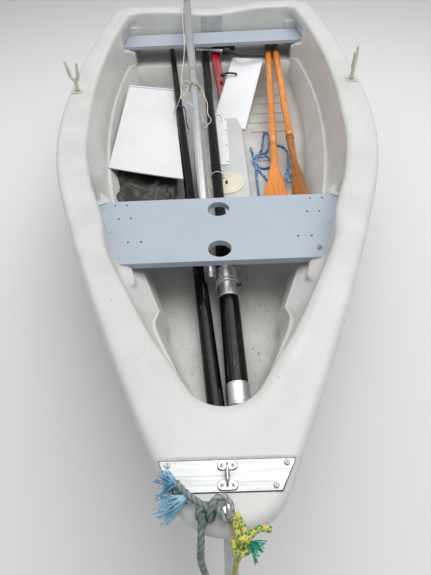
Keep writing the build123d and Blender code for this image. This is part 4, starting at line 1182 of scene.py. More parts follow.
@dataclass
class HullMoulding:
    """The one piece hull: skins, gunwale, deck, cockpit liner and the seats for the thwarts."""

    lip_depth: float = 48.0
    transom_dip: float = 28.0
    dip_half: float = 360.0
    side_rows: int = 6
    lip_share: float = 0.42
    bow_step_x: float = 2951.0
    bow_step_half: float = 2.0
    bow_step_reach: float = 7.0
    bow_step_near: float = 80.0
    bow_step_low: float = 700.0
    bow_step_drop: Pair = (44.0, 12.0)
    sole_step_half: float = 10.0
    bulge_from: Pair = (2060.0, 2110.0)
    bulge_to: Pair = (2338.0, 2398.0)
    bulge: float = 33.0
    bulge_over_ledge: float = 38.0
    bulge_height: float = 60.0
    opening_flare: float = 6.0
    flare_from: Pair = (2080.0, 2240.0)
    flare_to: Pair = (2280.0, 2450.0)
    opening_waist: float = 12.0
    waist_from: Pair = (1300.0, 1780.0)
    thwart_lip: float = 7.0
    lip_from: Pair = (1860.0, 2010.0)
    waist_to: Pair = (2040.0, 2240.0)
    ledge_wide_from: Pair = (2380.0, 2440.0)
    ledge_wide_to: Pair = (2650.0, 2740.0)
    steep_from: Pair = (1350.0, 1850.0)
    steep_to: Pair = (2500.0, 2720.0)
    wall_top_z: float = 820.0
    wall_power: float = 4.0
    bead: float = 2.4
    thwart_gap: float = 4.0

    def top_z(self, x: float, y: float) -> float:
        """Height of the gunwale and deck, with the dip in the transom.

        Args:
            x: station.
            y: distance to port.

        Returns:
            The height.
        """
        z = sheer(x)
        if x < 200 and abs(y) < self.dip_half:
            z -= self.transom_dip * (0.5 + 0.5 * math.cos(math.pi * y / self.dip_half))
        return z

    def floor_z(self, x: float) -> float:
        """Height of the sole at a station, raised aft."""
        half = self.sole_step_half
        return lerp(AFT_STEP_Z, FLOOR_Z, smooth(AFT_STEP_X - half, AFT_STEP_X + half, x))

    def furnish(self, x: float, y: float, z: float) -> Point:
        """Moves a place on the liner to the face of a seat or the sole where one is.

        Args:
            x: station.
            y: distance to port.
            z: height.

        Returns:
            The place on the face.
        """
        side, wall = (1 if y >= 0 else -1), abs(y)
        half = self.beside_thwarts(x, wall, z)
        for seat in SEATS:
            if half > seat.inner(x):
                half = lerp(half, seat.inner(x), seat.cover(x, z))
        swell = hump(self.bulge_from, self.bulge_to, x)
        if swell > 0:
            if z >= LEDGE_Z:
                inward = self.bulge_over_ledge * (1 - min(1.0, (z - LEDGE_Z) / self.bulge_height))
            else:
                inward = self.bulge * smooth(FLOOR_Z, FLOOR_Z + self.bulge_height, z)
            half = min(half, lerp(half, wall - inward, swell))
        return x, side * half, max(z, self.floor_z(x))

    def beside_thwarts(self, x: float, half: float, z: float) -> float:
        """Half breadth of the cockpit wall, let out where a thwart's end needs room.

        Args:
            x: station.
            half: half breadth without the thwarts.
            z: height.

        Returns:
            The half breadth with room for the thwart's end.
        """
        for room in (CENTRE_THWART, AFT_THWART):
            aft_x, fwd_x, ease = room.aft_x, room.fwd_x, room.ease
            edge = lerp(room.aft_half, room.fwd_half, (x - aft_x) / (fwd_x - aft_x)) + self.thwart_gap
            near = hump((aft_x - ease, aft_x - 2), (fwd_x + 2, fwd_x + ease), x)
            near *= hump((room.low - 9, room.low - 3), (room.low + 40, sheer(x) - 26), z)
            near *= smooth(edge - 120, edge - 60, half)
            half = max(half, lerp(half, edge, near))
        return half

    def opening(self) -> list[Pair]:
        """Cockpit's edge at the rim, fuller than one arc between the thwart and the bow.

        Returns:
            Port side places.
        """
        out = []
        for x, y in OPENING.port():
            full = self.opening_flare * hump(self.flare_from, self.flare_to, x)
            drawn = self.opening_waist * smooth(*self.waist_from, x)
            drawn += self.thwart_lip * smooth(*self.lip_from, x)
            out.append((x, y + full - drawn * (1 - smooth(*self.waist_to, x))))
        return out

    def widened(self, outline: Outline, more: float) -> list[Pair]:
        """Outline of the ledge, let out a little forward of the bulge."""
        wide_from, wide_to = self.ledge_wide_from, self.ledge_wide_to
        return [(x, y + more * hump(wide_from, wide_to, x)) for x, y in outline.port()]

    def ring(self, port: Sequence[Pair], height: Callable[[float, float], float],
             liner: bool = False) -> list[Point]:
        """Closed ring: tip, port side, stern row and starboard side back to the tip.

        Args:
            port: places from the tip to the stern's port end.
            height: height by station and distance to port.
            liner: True for the cockpit, which makes room for seats and sole.

        Returns:
            The ring's places.
        """
        plan = list(port)
        stern_x, stern_y = port[-1]
        row = [(stern_x, stern_y * (1 - 2 * k / ACROSS)) for k in range(1, ACROSS)]
        plan += row + [(x, -y) for x, y in reversed(port[1:])]
        ring = [(x, y, height(x, y)) for x, y in plan]
        return [self.furnish(*p) for p in ring] if liner else ring

    def shifted(self, port: Sequence[Pair], inward: float) -> list[Pair]:
        """Port side places moved inward along their normals.

        Args:
            port: places from the tip to the stern.
            inward: how far.

        Returns:
            As many places.
        """
        out = []
        last = len(port) - 1
        for i, (x, y) in enumerate(port):
            if i == 0:
                out.append((x - inward, 0.0))
                continue
            ax, ay = port[i - 1]
            bx, by = port[min(i + 1, last)]
            dx, dy = bx - ax, by - ay
            if i == last:
                dx, dy = 0.0, -1.0
            length = math.hypot(dx, dy)
            out.append((x - dy / length * inward, y + dx / length * inward))
        return out

    def blended(self, a: Sequence[Pair], b: Sequence[Pair], t: float) -> list[Pair]:
        """Places a share of the way from one outline to another."""
        return [(lerp(p[0], q[0], t), lerp(p[1], q[1], t)) for p, q in zip(a, b)]

    def outer_rings(self) -> list[list[Point]]:
        """Rings from the keel up the side to the gunwale's under edge.

        Returns:
            The rings in order.
        """
        ports = [(z, outline.port()) for z, outline in HULL_LEVELS]
        rings = []
        for i, count in enumerate(LEVEL_STEPS):
            (za, a), (zb, b) = ports[i], ports[i + 1]
            before = ports[max(i - 1, 0)]
            after = ports[i + 2]
            for k in range(count):
                t = k / count
                plan = [tuple(self.spline(*values, t) for values in zip(*corners))
                        for corners in zip(before[1], a, b, after[1])]
                z = self.spline(before[0], za, zb, after[0], t)
                rings.append(self.ring(plan, lambda x, y, z=z: z))
        (side_z, side), (_, top) = ports[3:]
        for k in range(self.side_rows + 1):
            t = k / self.side_rows
            plan = self.blended(side, top, t * self.lip_share)
            rings.append(self.ring(plan, lambda x, y, t=t: lerp(side_z, sheer(x) - self.lip_depth, t)))
        return rings

    @staticmethod
    def spline(a: float, b: float, c: float, d: float, t: float) -> float:
        """Smooth value between two of four, with slopes from their neighbours, softened.

        Args:
            a: value before b.
            b: value at share 0.
            c: value at share 1.
            d: value after c.
            t: the share.

        Returns:
            The value.
        """
        mb, mc = (c - a) / 2 * 0.8, (d - b) / 2 * 0.8
        h = t * t
        g = h * t
        return (2 * g - 3 * h + 1) * b + (g - 2 * h + t) * mb + (3 * h - 2 * g) * c + (g - h) * mc

    def gunwale_rings(self) -> list[list[Point]]:
        """Rings round the gunwale's lip and over the deck to the cockpit's edge.

        Returns:
            The rings in order.
        """
        rim, opening = RIM.port(), self.opening()
        rings = []
        for inward, drop in LIP_STEPS:
            plan = self.shifted(rim, inward)
            rings.append(self.ring(plan, lambda x, y, d=drop: self.top_z(x, y) - d))
        inner_deck = self.shifted(self.wall(opening, 0.0), -24)
        outer_deck = self.shifted(rim, LIP_STEPS[-1][0])
        for k in range(1, DECK_ROWS):
            t = k / DECK_ROWS
            crown = 2.0 * math.sin(math.pi * t) + self.bead * smooth(0.72, 0.97, t)
            plan = self.blended(outer_deck, inner_deck, t)
            rings.append(self.ring(plan, lambda x, y, c=crown: self.top_z(x, y) + c))
        roll = ((24, -self.bead), (15, -0.6), (8, 3.2), (3, 8), (0.5, 14), (0, ROLL_DEPTH))
        for outset, drop in roll:
            plan = self.shifted(self.wall(opening, 0.0), -outset)
            rings.append(self.ring(plan, lambda x, y, d=drop: self.top_z(x, y) - d))
        return rings

    def wall(self, opening: Sequence[Pair], share: float) -> list[Pair]:
        """Cockpit wall's places, a share of the way from under the gunwale to the ledge.

        Args:
            opening: the cockpit's edge.
            share: 0 just under the gunwale, 1 at the ledge.

        Returns:
            The port side's places; beside the centre thwart the wall is steep high up and flares low down.
        """
        ledge = self.widened(LEDGE, 10)
        out = []
        for p, q in zip(opening, ledge):
            z = lerp(sheer(p[0]) - ROLL_DEPTH, LEDGE_Z + 8, share)
            steep = hump(self.steep_from, self.steep_to, p[0])
            t = ((self.wall_top_z - z) / (self.wall_top_z - LEDGE_Z)) ** lerp(1.0, self.wall_power, steep)
            out.append((lerp(p[0], q[0], t), lerp(p[1], q[1], t)))
        return out

    def liner_rings(self) -> list[list[Point]]:
        """Rings down the cockpit wall, over the ledge and down to the sole.

        Returns:
            The rings in order.
        """
        opening, sole = self.opening(), FLOOR.port()
        ledge, lower = self.widened(LEDGE, 10), self.widened(LOWER, 6)
        rings = []
        for k in range(1, WALL_ROWS):
            t = k / WALL_ROWS
            plan = self.wall(opening, t)
            rings.append(self.ring(
                plan, lambda x, y, t=t: lerp(self.top_z(x, y) - ROLL_DEPTH, LEDGE_Z + 8, t), True))
        for share, z in LEDGE_STEPS:
            rings.append(self.ring(self.blended(ledge, lower, share), lambda x, y, z=z: z, True))
        for k in range(1, LOWER_ROWS):
            t = k / LOWER_ROWS
            rings.append(self.ring(self.blended(lower, sole, t),
                                   lambda x, y, t=t: lerp(LEDGE_STEPS[-1][1], FLOOR_Z + 34, t), True))
        for inward, z in COVE_STEPS:
            rings.append(self.ring(self.shifted(sole, inward), lambda x, y, z=z: FLOOR_Z + z, True))
        return rings

    def cap(self, ring: Sequence[int], points: list[Vector], faces: list[tuple[int, ...]],
            lift: Callable[[float], float] | None) -> None:
        """Closes a ring with rows from port to starboard.

        Args:
            ring: the ring's point numbers.
            points: all points, added to.
            faces: all faces, added to.
            lift: sole height by station, or None to keep the ring's.
        """
        count = len(RIM.port())
        port = list(ring[:count])
        starboard = [ring[0]] + [ring[-i] for i in range(1, count)]
        stern = [port[-1], *ring[count:count + ACROSS - 1], starboard[-1]]
        rows = []
        for i in range(1, count - 1):
            a, b = points[port[i]], points[starboard[i]]
            row = [port[i]]
            for k in range(1, ACROSS):
                place = a.lerp(b, k / ACROSS)
                if lift:
                    place.z = lift(place.x / MM + ORIGIN_X) * MM
                row.append(len(points))
                points.append(place)
            rows.append([*row, starboard[i]])
        rows.append(stern)
        for k in range(ACROSS):
            faces.append((port[0], rows[0][k], rows[0][k + 1]))
        for upper, under in zip(rows, rows[1:]):
            for k in range(ACROSS):
                faces.append((upper[k], under[k], under[k + 1], upper[k + 1]))

    def build(self) -> None:
        """Makes the hull and the small mouldings that belong to it."""
        rings = self.outer_rings() + self.gunwale_rings() + self.liner_rings()
        points = [at(*p) for ring in rings for p in ring]
        width = len(rings[0])
        faces = grid_faces(len(rings), width, closed=True)
        self.cap(list(range(width)), points, faces, None)
        first = (len(rings) - 1) * width
        self.cap(list(range(first, first + width)), points, faces, self.floor_z)
        hull = mesh_piece("hull_moulding", points, faces, HULL_SKIN)
        self.cut_bow_step(hull.data)
        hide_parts("hull")
        self.runners()
        self.treads()
        self.lobes()
        log.info("hull moulding: %d points", len(points))

    def cut_bow_step(self, data: bpy.types.Mesh) -> None:
        """Lowers the nose to the flat that the bow plate lies on, with a crisp step.

        Args:
            data: the hull's mesh.
        """
        work = bmesh.new()
        work.from_mesh(data)
        half, reach = self.bow_step_half, self.bow_step_reach
        for x in (-reach, -half, half, reach):
            place = at(self.bow_step_x + x, 0, 0)
            middles = [(f, f.calc_center_median()) for f in work.faces]
            near = [f for f, middle in middles if middle.z > self.bow_step_low * MM
                    and abs(middle.x - place.x) < self.bow_step_near * MM]
            edges = {e for f in near for e in f.edges}
            verts = {v for f in near for v in f.verts}
            bmesh.ops.bisect_plane(work, geom=[*near, *edges, *verts], plane_co=place,
                                   plane_no=Vector((1, 0, 0)))
        for vert in work.verts:
            x, z = vert.co.x / MM + ORIGIN_X, vert.co.z / MM
            share = smooth(self.bow_step_x - half, self.bow_step_x + half, x)
            share *= smooth(*(sheer(x) - drop for drop in self.bow_step_drop), z)
            if share > 0:
                vert.co.z -= share * (sheer(x) - BOW_DECK_Z) * MM
                crown = max(0.0, z - sheer(x))
                vert.co.z -= share * crown * MM
        work.to_mesh(data)
        work.free()
        data.shade_smooth()

    def runners(self) -> None:
        """Two flat runners under the bottom."""
        for name, side in SIDES:
            y = side * 330.0
            plan = rounded_plan([(130, y - 30), (2080, y - 30), (2080, y + 30), (130, y + 30)], 24)
            slab(f"hull_runner_{name}", plan, 300.0, 344.0, HULL_SKIN, 6.0)

    def lobes(self) -> None:
        """Smooth lobes of the seats that rise behind both ends of each thwart."""
        for name, side in SIDES:
            pod = [(1708, 575), (1714, 536), (1738, 503), (1772, 478), (1812, 464), (1830, 500), (1830, 575)]
            plan = [(x, side * y) for x, y in pod]
            slab(f"pod_lobe_{name}", rounded_plan(plan, 14), 560.0, 597.0, HULL_SKIN, 7.0)
            ear = [(18, 468), (34, 462), (70, 500), (70, 560), (18, 560)]
            plan = [(x, side * y) for x, y in ear]
            slab(f"stern_lobe_{name}", rounded_plan(plan, 10), 600.0, 672.0, HULL_SKIN, 9.0)

    def treads(self) -> None:
        """Low ribs across the sole that keep feet from slipping."""
        for name, side in SIDES:
            for i, x in enumerate((456.0, 566.0, 690.0, 800.0, 905.0)):
                ys = sorted((side * 205.0, side * 448.0))
                plan = rounded_plan([(x - 11, ys[0]), (x + 11, ys[0]), (x + 11, ys[1]), (x - 11, ys[1])], 9)
                slab(f"sole_tread_{name}_{i}", plan, FLOOR_Z - 2, FLOOR_Z + 7, HULL_SKIN, 3.0)


@dataclass
class Thwarts:
    """The broad centre thwart with its mast holes and the narrow aft one."""

    mast_hole_r: float = 44.0
    mast_holes: Pair = (1874.0, 2105.0)
    screw_hole_r: float = 4.6
    aft_low_z: float = 610.0
    aft_top_z: float = 630.0

    def build(self) -> None:
        """Makes both panels and their fastenings."""
        room = CENTRE_THWART
        corners = [(room.aft_x, -room.aft_half), (room.fwd_x, -room.fwd_half),
                   (room.fwd_x, room.fwd_half), (room.aft_x, room.aft_half)]
        holes = [(x, 0.0, self.mast_hole_r) for x in self.mast_holes]
        small = [(1827, 428), (1827, 379), (1912, 403), (1911, 354), (2053, 350), (2052, 299)]
        holes += [(x, side * y, self.screw_hole_r) for side in (-1, 1) for x, y in small]
        z0 = THWART_TOP_Z - THWART_THICK
        seat = slab("centre_thwart_panel", rounded_plan(corners, 18), z0, THWART_TOP_Z, THWART_SKIN, 3.0,
                    holes)
        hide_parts("centre_thwart")
        rivets = [(1844, -473), (1989, -425), (2137, -374), (1830, 472), (1980, 426)]
        studs("thwart_rivets", [(x, y, THWART_TOP_Z) for x, y in rivets], 6.0, 3.0, STAINLESS)
        bolt = [(9.0, 0.0), (9.0, 4.0), (4.0, 4.0), (4.0, 16.0), (2.5, 18.0)]
        lathe("thwart_eye_bolt", bolt, (2121, 366, THWART_TOP_Z), (0.2, 0.3, 1), STAINLESS, segments=16)
        aft = [(72, -555), (262, -576), (262, 576), (72, 555)]
        bench = slab("aft_thwart_panel", rounded_plan(aft, 8), self.aft_low_z, self.aft_top_z, THWART_SKIN,
                     2.5)
        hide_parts("aft_thwart")
        rivets = [(x, s * y, self.aft_top_z) for s in (1, -1) for x, y in ((100, 528), (236, 540))]
        studs("aft_thwart_rivets", rivets, 5.5, 2.5, STAINLESS)
        log.info("thwarts: 2 panels")


@dataclass
class CentreCase:
    """The daggerboard case with its closing plate, wire handle and round hatch lid."""

    aft_x: float = 848.0
    fwd_x: float = 1740.0
    port_y: float = 145.0
    starboard_y: float = -98.0
    draft: float = 12.0

    def build(self) -> None:
        """Makes the tapered case, the plate and the lid."""
        rows = []
        for grow, z in ((self.draft, FLOOR_Z - 2), (4.0, CASE_TOP_Z - 16), (0.0, CASE_TOP_Z - 6),
                        (-4.0, CASE_TOP_Z - 1.2), (-9.0, CASE_TOP_Z)):
            aft, fore = self.aft_x - grow, self.fwd_x + grow
            low, high = self.starboard_y - grow, self.port_y + grow
            corners = [(aft, low), (fore, low), (fore, high + 14), (962, high + 4), (aft, high - 18)]
            plan = rounded_plan(corners, 14 + grow, 8)
            rows.append([at(x, y, z) for x, y in plan])
        width = len(rows[0])
        faces = grid_faces(len(rows), width, closed=True)
        faces.append(tuple(range((len(rows) - 1) * width, len(rows) * width)))
        case = mesh_piece("daggerboard_case_moulding", [p for row in rows for p in row], faces, LINER_SKIN)
        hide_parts("daggerboard_case")
        finish_nodes(CAP_SKIN, "case_cap")
        screws = [(x, y, CASE_TOP_Z + 6) for x in (885, 1000, 1155, 1310) for y in (-26, 56)]
        # Near-black heads on the plate: painted shade for its screw holes
        studs("case_cap_screws", screws, 4.6, 1.2, PAINTED_HOLE_SHADE)
        handle = [(872, 2, 441), (864, 3, 452), (868, 12, 466), (884, 26, 470), (904, 36, 464),
                  (914, 38, 452), (908, 38, 441)]
        line_curve("case_cap_wire_handle", handle, 4.0, STAINLESS)
        lid = [(90, 0), (90, 3.5), (88, 6), (75, 6.2), (73, 4.9), (66, 4.9), (64, 6.2), (30, 6.8), (0.5, 7)]
        cover = lathe("hatch_lid", lid, (1486, 42, CASE_TOP_Z), (0, 0, 1), LID_SKIN, segments=64)
        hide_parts("round_lid")
        plan = rounded_plan([(1476, 38), (1504, 38), (1504, 50), (1476, 50)], 6)
        # Near-black sheet in the lid: painted shade for the finger slot
        slab("hatch_lid_finger_slot", plan, CASE_TOP_Z + 5, CASE_TOP_Z + 7.3, PAINTED_HOLE_SHADE, 0.0)
        log.info("centre case: plate and lid")


@dataclass
class Foil:
    """A flat board with a rounded section that leans from the sole to the raised aft sole."""

    name: str
    node: str
    aft: Pair
    fwd: Pair
    slope: float
    width: float
    thick: float
    tip_r: float
    finish: Finish
    rake: float = 0.0

    def place(self, s: float, v: float, h: float) -> Vector:
        """Place on the board.

        Args:
            s: distance along it from its lower end.
            v: distance across it.
            h: height over its under face.

        Returns:
            The place in metres.
        """
        run = Vector((self.aft[0] - self.fwd[0], self.aft[1] - self.fwd[1], 0))
        flat = run.normalized()
        along = (flat + Vector((0, 0, self.slope))).normalized()
        side = Vector((-flat.y, flat.x, 0))
        up = along.cross(side)
        if up.z < 0:
            up = -up
        p = Vector((*self.fwd, FLOOR_Z + 0.3 + self.rake * self.slope)) + along * s + side * v + up * h
        return at(*p)

    def build(self) -> None:
        """Makes the board as crowned rings from edge to middle."""
        run = math.hypot(self.aft[0] - self.fwd[0], self.aft[1] - self.fwd[1])
        length = run * math.hypot(1, self.slope)
        half = self.width / 2
        plan = rounded_plan([(-self.rake, -half), (length, -half), (length, half), (0, half)], self.tip_r, 10)
        rings, t = [], self.thick
        for inset, low, high in ((0.0, 0.38, 0.62), (1.5, 0.2, 0.8), (5.0, 0.06, 0.94), (16.0, 0.0, 1.0)):
            rings.append((inset, low * t, high * t))
        rows = []
        for inset, low, _ in reversed(rings):
            rows.append([self.place(*self.pull(p, inset, length, half), low) for p in plan])
        for inset, _, high in rings:
            rows.append([self.place(*self.pull(p, inset, length, half), high) for p in plan])
        made = mesh_piece(self.name, [p for row in rows for p in row], tube_faces(len(rows), len(plan)),
                          self.finish)
        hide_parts(self.node)
        log.info("%s: %.0f mm long", self.name, length)

    @staticmethod
    def pull(p: Pair, inset: float, length: float, half: float) -> Pair:
        """A plan place drawn in from the edge by an inset."""
        return (lerp(p[0], length / 2, inset / (length / 2)), lerp(p[1], 0.0, inset / half))


class SteeringGear:
    """Foils, tiller, its rubber joint, extension and rudder head."""

    tiller_z = 581.6
    tiller_run = (74, 225, 0)

    def build(self) -> None:
        """Makes the foils and dresses the tubes."""
        Foil("daggerboard_foil", "daggerboard", (272, 226), (825, 86), slope=0.243, width=205, thick=18,
             tip_r=9, finish=FOIL_SKIN, rake=50).build()
        grip = [(442, 57, 500.0), (442, 64, 512.0), (433, 88, 514.0), (439, 115, 514.0), (442, 139, 512.0),
                (431, 146, 502.0)]
        line_curve("daggerboard_grip", grip, 12.0, BLACK_PLASTIC)
        knob = [(9, 0), (15, 3), (16, 14), (11, 20)]
        lathe("daggerboard_grip_boss", knob, (442, 57, 494.0), (-0.27, 0.06, 1), BLACK_PLASTIC, segments=20)
        slope = (AFT_STEP_Z - FLOOR_Z + 4) / (600 - AFT_STEP_X)
        Foil("rudder_blade_foil", "rudder_blade", (225, 12), (600, 60), slope, width=56, thick=12,
             tip_r=20, finish=RUDDER_SKIN).build()
        finish_nodes(ANODISED, "tiller")
        finish_nodes(RUBBER, "tiller_joint")
        finish_nodes(BLACK_PLASTIC, "tiller_extension", "rudder_head")
        lathe("tiller_clamp", [(17, 0), (22, 3), (22, 44), (17, 48)], (262, 66, self.tiller_z),
              self.tiller_run, BLACK_PLASTIC)
        lathe("tiller_end_plug", [(11.8, 0), (12.4, 2), (12.4, 12), (10, 15)], (205, -109, self.tiller_z),
              tuple(-v for v in self.tiller_run), BLACK_PLASTIC)


@dataclass
class Oar:
    """One wooden oar: round shaft, worn grip, collar and a spooned blade."""

    name: str
    node: str
    aft: Pair
    fwd: Pair
    roll: float
    blade_finish: Finish
    collar_at: float
    shaft_r: float = 20.0
    grip_r: float = 20.5
    grip_length: float = 130.0
    blade_length: float = 620.0
    blade_half: float = 61.0
    blade_thick: float = 12.0
    tip_cut: float = 14.0
    aft_z: float = 552.3
    tip_gap: float = 0.5
    sides: int = 28
    shaft_rows: int = 12
    blade_rows: int = 40

    def build(self) -> None:
        """Makes the shaft with its blade, the grip and the collar."""
        lean = math.radians(abs(self.roll))
        rise = self.tip_cut * (self.aft_z - FLOOR_Z) / (self.fwd[0] - self.aft[0]) * math.sin(lean)
        low = self.blade_half * math.sin(lean) + self.blade_thick / 2 * math.cos(lean)
        a = Vector((*self.aft, self.aft_z))
        f = Vector((*self.fwd, FLOOR_Z + low + self.tip_gap - rise))
        axis = (f - a).normalized()
        total = (f - a).length
        level = Vector((-axis.y, axis.x, 0)).normalized()
        up = axis.cross(level)
        turn = math.radians(-self.roll)
        wide = level * math.cos(turn) + up * math.sin(turn)
        flat = axis.cross(wide)
        blade_start = total - self.blade_length
        stations = [(self.grip_length - 4, self.grip_r), (self.grip_length + 6, self.shaft_r)]
        stations += [(lerp(self.grip_length + 6, blade_start, k / self.shaft_rows), self.shaft_r)
                     for k in range(1, self.shaft_rows + 1)]
        self.surface(f"{self.name}_shaft", a, axis, wide, flat, [(s, r, r) for s, r in stations], OAR_WOOD)
        blade = []
        for k in range(self.blade_rows + 1):
            t = k / self.blade_rows
            s = blade_start + t * self.blade_length
            grow = smooth(0.16, 0.72, t)
            tip = 1.0 - 0.42 * smooth(0.93, 1.0, t) ** 2
            half = lerp(self.shaft_r, self.blade_half, grow) * tip
            thick = lerp(self.shaft_r, self.blade_thick / 2, smooth(0.0, 0.45, t))
            blade.append((s - (2 if k == self.blade_rows else 0), half, thick))
        self.surface(f"{self.name}_blade", a, axis, wide, flat, blade, self.blade_finish)
        worn, end = self.grip_r, self.grip_length
        grip = [(0, 7), (2, 12), (7, worn), (60, worn + 1), (end - 12, worn - 1), (end - 2, worn + 1.5)]
        self.surface(f"{self.name}_grip", a, axis, wide, flat, [(s, r, r) for s, r in grip], GRIP_WOOD)
        if self.collar_at:
            ring = a + axis * self.collar_at
            r = self.shaft_r
            lathe(f"{self.name}_collar", [(r, 0), (r + 2.5, 2), (r + 2.5, 16), (r, 18)], tuple(ring),
                  tuple(axis), GRIP_WOOD)
        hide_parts(self.node)
        log.info("%s: %.0f mm long", self.name, total)

    def surface(self, name: str, a: Vector, axis: Vector, wide: Vector, flat: Vector,
                stations: Sequence[tuple[float, float, float]], finish: Finish) -> None:
        """Skin through elliptical sections along the axis.

        Args:
            name: the piece's name.
            a: the grip's end.
            axis: direction of the shaft.
            wide: direction across the blade.
            flat: direction through the blade.
            stations: distance, half width and half thickness of each section.
            finish: what it is made of.
        """
        points = []
        for s, half, thick in stations:
            flatness = max(0.0, half / max(thick, 1) - 1.5) / 8
            for k in range(self.sides):
                angle = 2 * math.pi * k / self.sides
                c, d = math.cos(angle), math.sin(angle)
                square = 1 + 0.12 * flatness * abs(math.sin(2 * math.atan2(d, c)))
                points.append(at(*(a + axis * s + wide * half * c * square + flat * thick * d * square)))
        mesh_piece(name, points, tube_faces(len(stations), self.sides), finish)


class Spars:
    """Two part mast and boom, stowed along the boat."""

    # Distance from the lower mast's foot and radius of each bright bead
    beads = ((4, 41.2), (68, 41.2), (431, 42.8), (562, 42.8))

    def build(self) -> None:
        """Dresses the spars and adds their small fittings."""
        finish_nodes(MAST_SKIN, "mast_upper", "mast_lower")
        finish_nodes(ANODISED, "mast_foot_cap", "mast_collar", "boom")
        finish_nodes(STRIP_METAL, "boom_caps")
        foot, axis = LOWER_MAST_FWD, (LOWER_MAST_AFT - LOWER_MAST_FWD).normalized()
        for i, (start, radius) in enumerate(self.beads):
            base = foot + axis * start
            lathe(f"mast_bright_bead_{i}", [(radius - 2, 0), (radius, 1.5), (radius, 5.5), (radius - 2, 7)],
                  tuple(base), tuple(axis), ANODISED, segments=40)
        face = foot - axis * 0.2
        lathe("mast_foot_face", [(38.5, -1.5), (36, -2.4), (22, -2.4), (20, -0.4), (0.5, -0.4)], tuple(face),
              tuple(axis), ANODISED, segments=40)


@dataclass
class LockerBoard:
    """Thin white board that lies on the sail bag, bowed along its front edge."""

    thick: float = 7.0
    bow_up: float = 9.0
    heel: float = 7.2
    aft_edge: tuple[Pair, Pair] = ((608.0, -516.0), (618.0, -252.0))
    fore_edge: tuple[Pair, Pair] = ((1465.0, -521.0), (1518.0, -162.0))
    hinge_y: float = -250.0
    hinge_z: float = FLOOR_Z + 127.2
    lip: float = 7.0

    def place(self, u: float, v: float, h: float) -> Vector:
        """Place on the board.

        Args:
            u: share along it, aft to fore.
            v: share across it, outboard to inboard.
            h: height over its under face.

        Returns:
            The place in metres.
        """
        aft, fore = (Vector(a).lerp(Vector(b), v) for a, b in (self.aft_edge, self.fore_edge))
        p = aft.lerp(fore, u)
        p.x += 16 * math.sin(math.pi * v) * smooth(0.75, 1.0, u)
        lift = self.bow_up * math.sin(math.pi * v) * smooth(0.3, 1.0, u)
        angle = math.radians(self.heel)
        out = self.hinge_y - p.y
        return at(p.x, self.hinge_y - out * math.cos(angle), self.hinge_z + out * math.sin(angle) + h + lift)

    def build(self) -> None:
        """Makes the board with rounded edges and its aft lip."""
        nu, nv = 26, 12
        rows = []
        for h in (0.0, self.thick):
            for i in range(nu + 1):
                rows.append([self.place(i / nu, j / nv, h) for j in range(nv + 1)])
        points = [p for row in rows for p in row]
        width = nv + 1
        size = (nu + 1) * width
        faces = grid_faces(nu + 1, width) + grid_faces(nu + 1, width, start=size)
        for i in range(nu):
            for j in (0, nv):
                a = i * width + j
                faces.append((a, a + width, a + width + size, a + size))
        for j in range(nv):
            for i in (0, nu):
                a = i * width + j
                faces.append((a, a + 1, a + 1 + size, a + size))
        board = mesh_piece("locker_board_sheet", points, faces, BOARD_SKIN, bevel_mm=1.6)
        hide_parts("locker_board")
        lip = []
        for h in (self.thick - 1, self.thick + self.lip):
            for u in (0.0, 0.014):
                for j in range(nv + 1):
                    lip.append(self.place(u, j / nv, h))
        faces = []
        for j in range(nv):
            a, b, c, d = j, j + width, j + 2 * width, j + 3 * width
            faces += [(a, a + 1, b + 1, b), (c, c + 1, d + 1, d), (a, a + 1, c + 1, c), (b, b + 1, d + 1, d)]
        faces += [(0, width, 3 * width, 2 * width), (nv, nv + width, nv + 3 * width, nv + 2 * width)]
        mesh_piece("locker_board_lip", lip, faces, BOARD_SKIN, bevel_mm=1.5)
        log.info("locker board")


@dataclass
class SailBag:
    """Soft bag on the sole, creased and slumped against the side under the board."""

    aft_x: float = 980.0
    fwd_x: float = 1760.0
    out_y: float = -486.0
    in_y: float = -200.0
    height: float = 106.0
    crease: float = 25.0
    lean: float = 0.3
    top: float = 124.5
    end_share: float = 0.18
    rows: int = 120
    around: int = 84
    mouth: Pair = (1490.0, 1590.0)
    wall_half: float = 396.0
    wall_x: float = 1600.0
    wall_foot: float = 34.0

    def fullness(self, t: float) -> float:
        """Share of the full section at a share along the bag, small at its two ends."""
        near = min(t, 1 - t)
        return max(self.end_share, math.sin(math.pi * near * 4.2) if near < 0.119 else 1.0) ** 0.6

    def build(self) -> None:
        """Makes the bag as rings of a slumped section with creases."""
        rows, around = self.rows, self.around
        mid_y, half = (self.out_y + self.in_y) / 2, (self.in_y - self.out_y) / 2
        points = []
        for i in range(rows + 1):
            t = i / rows
            x = lerp(self.aft_x, self.fwd_x, t)
            end = self.fullness(t)
            for k in range(around):
                a = 2 * math.pi * k / around
                c, s = math.cos(a), math.sin(a)
                cy = math.copysign(abs(c) ** 0.72, c)
                cz = math.copysign(abs(s) ** 0.8, s)
                y = mid_y + half * cy * lerp(0.8, 1.0, end)
                z = self.height / 2 + self.height / 2 * cz * end
                slant = x * 0.8 + y * 0.9
                where = Vector((slant * 0.012, (x * 0.5 - y) * 0.011, z * 0.012))
                fold = noise.ridged_multi_fractal(where, 0.8, 2.2, 4, 1.0, 2.0, noise_basis="PERLIN_ORIGINAL")
                push = (fold - 1.2) * self.crease * (0.2 if s < -0.5 else 1.0)
                open_x = smooth(*self.mouth, x)
                z *= 1 + (0.3 + 0.25 * open_x) * max(0.0, -cy)
                crown = self.top + (0.12 + 0.1 * open_x) * max(0.0, -y - 250)
                z = max(0.0, min(z + push * max(0.0, cz), crown))
                y += push * cy * 0.5 - max(0.0, -cy) * self.lean * z
                wall = self.wall_half - 0.2 * (x - self.wall_x) + 0.97 * max(0.0, z - self.wall_foot)
                points.append(at(x, max(-wall, min(self.in_y + 5, y)), FLOOR_Z + 1 + z))
        bag = mesh_piece("sail_bag_cloth", points, tube_faces(rows + 1, around), BAG_CLOTH, levels=1)
        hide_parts("sail_bag")
        log.info("sail bag")


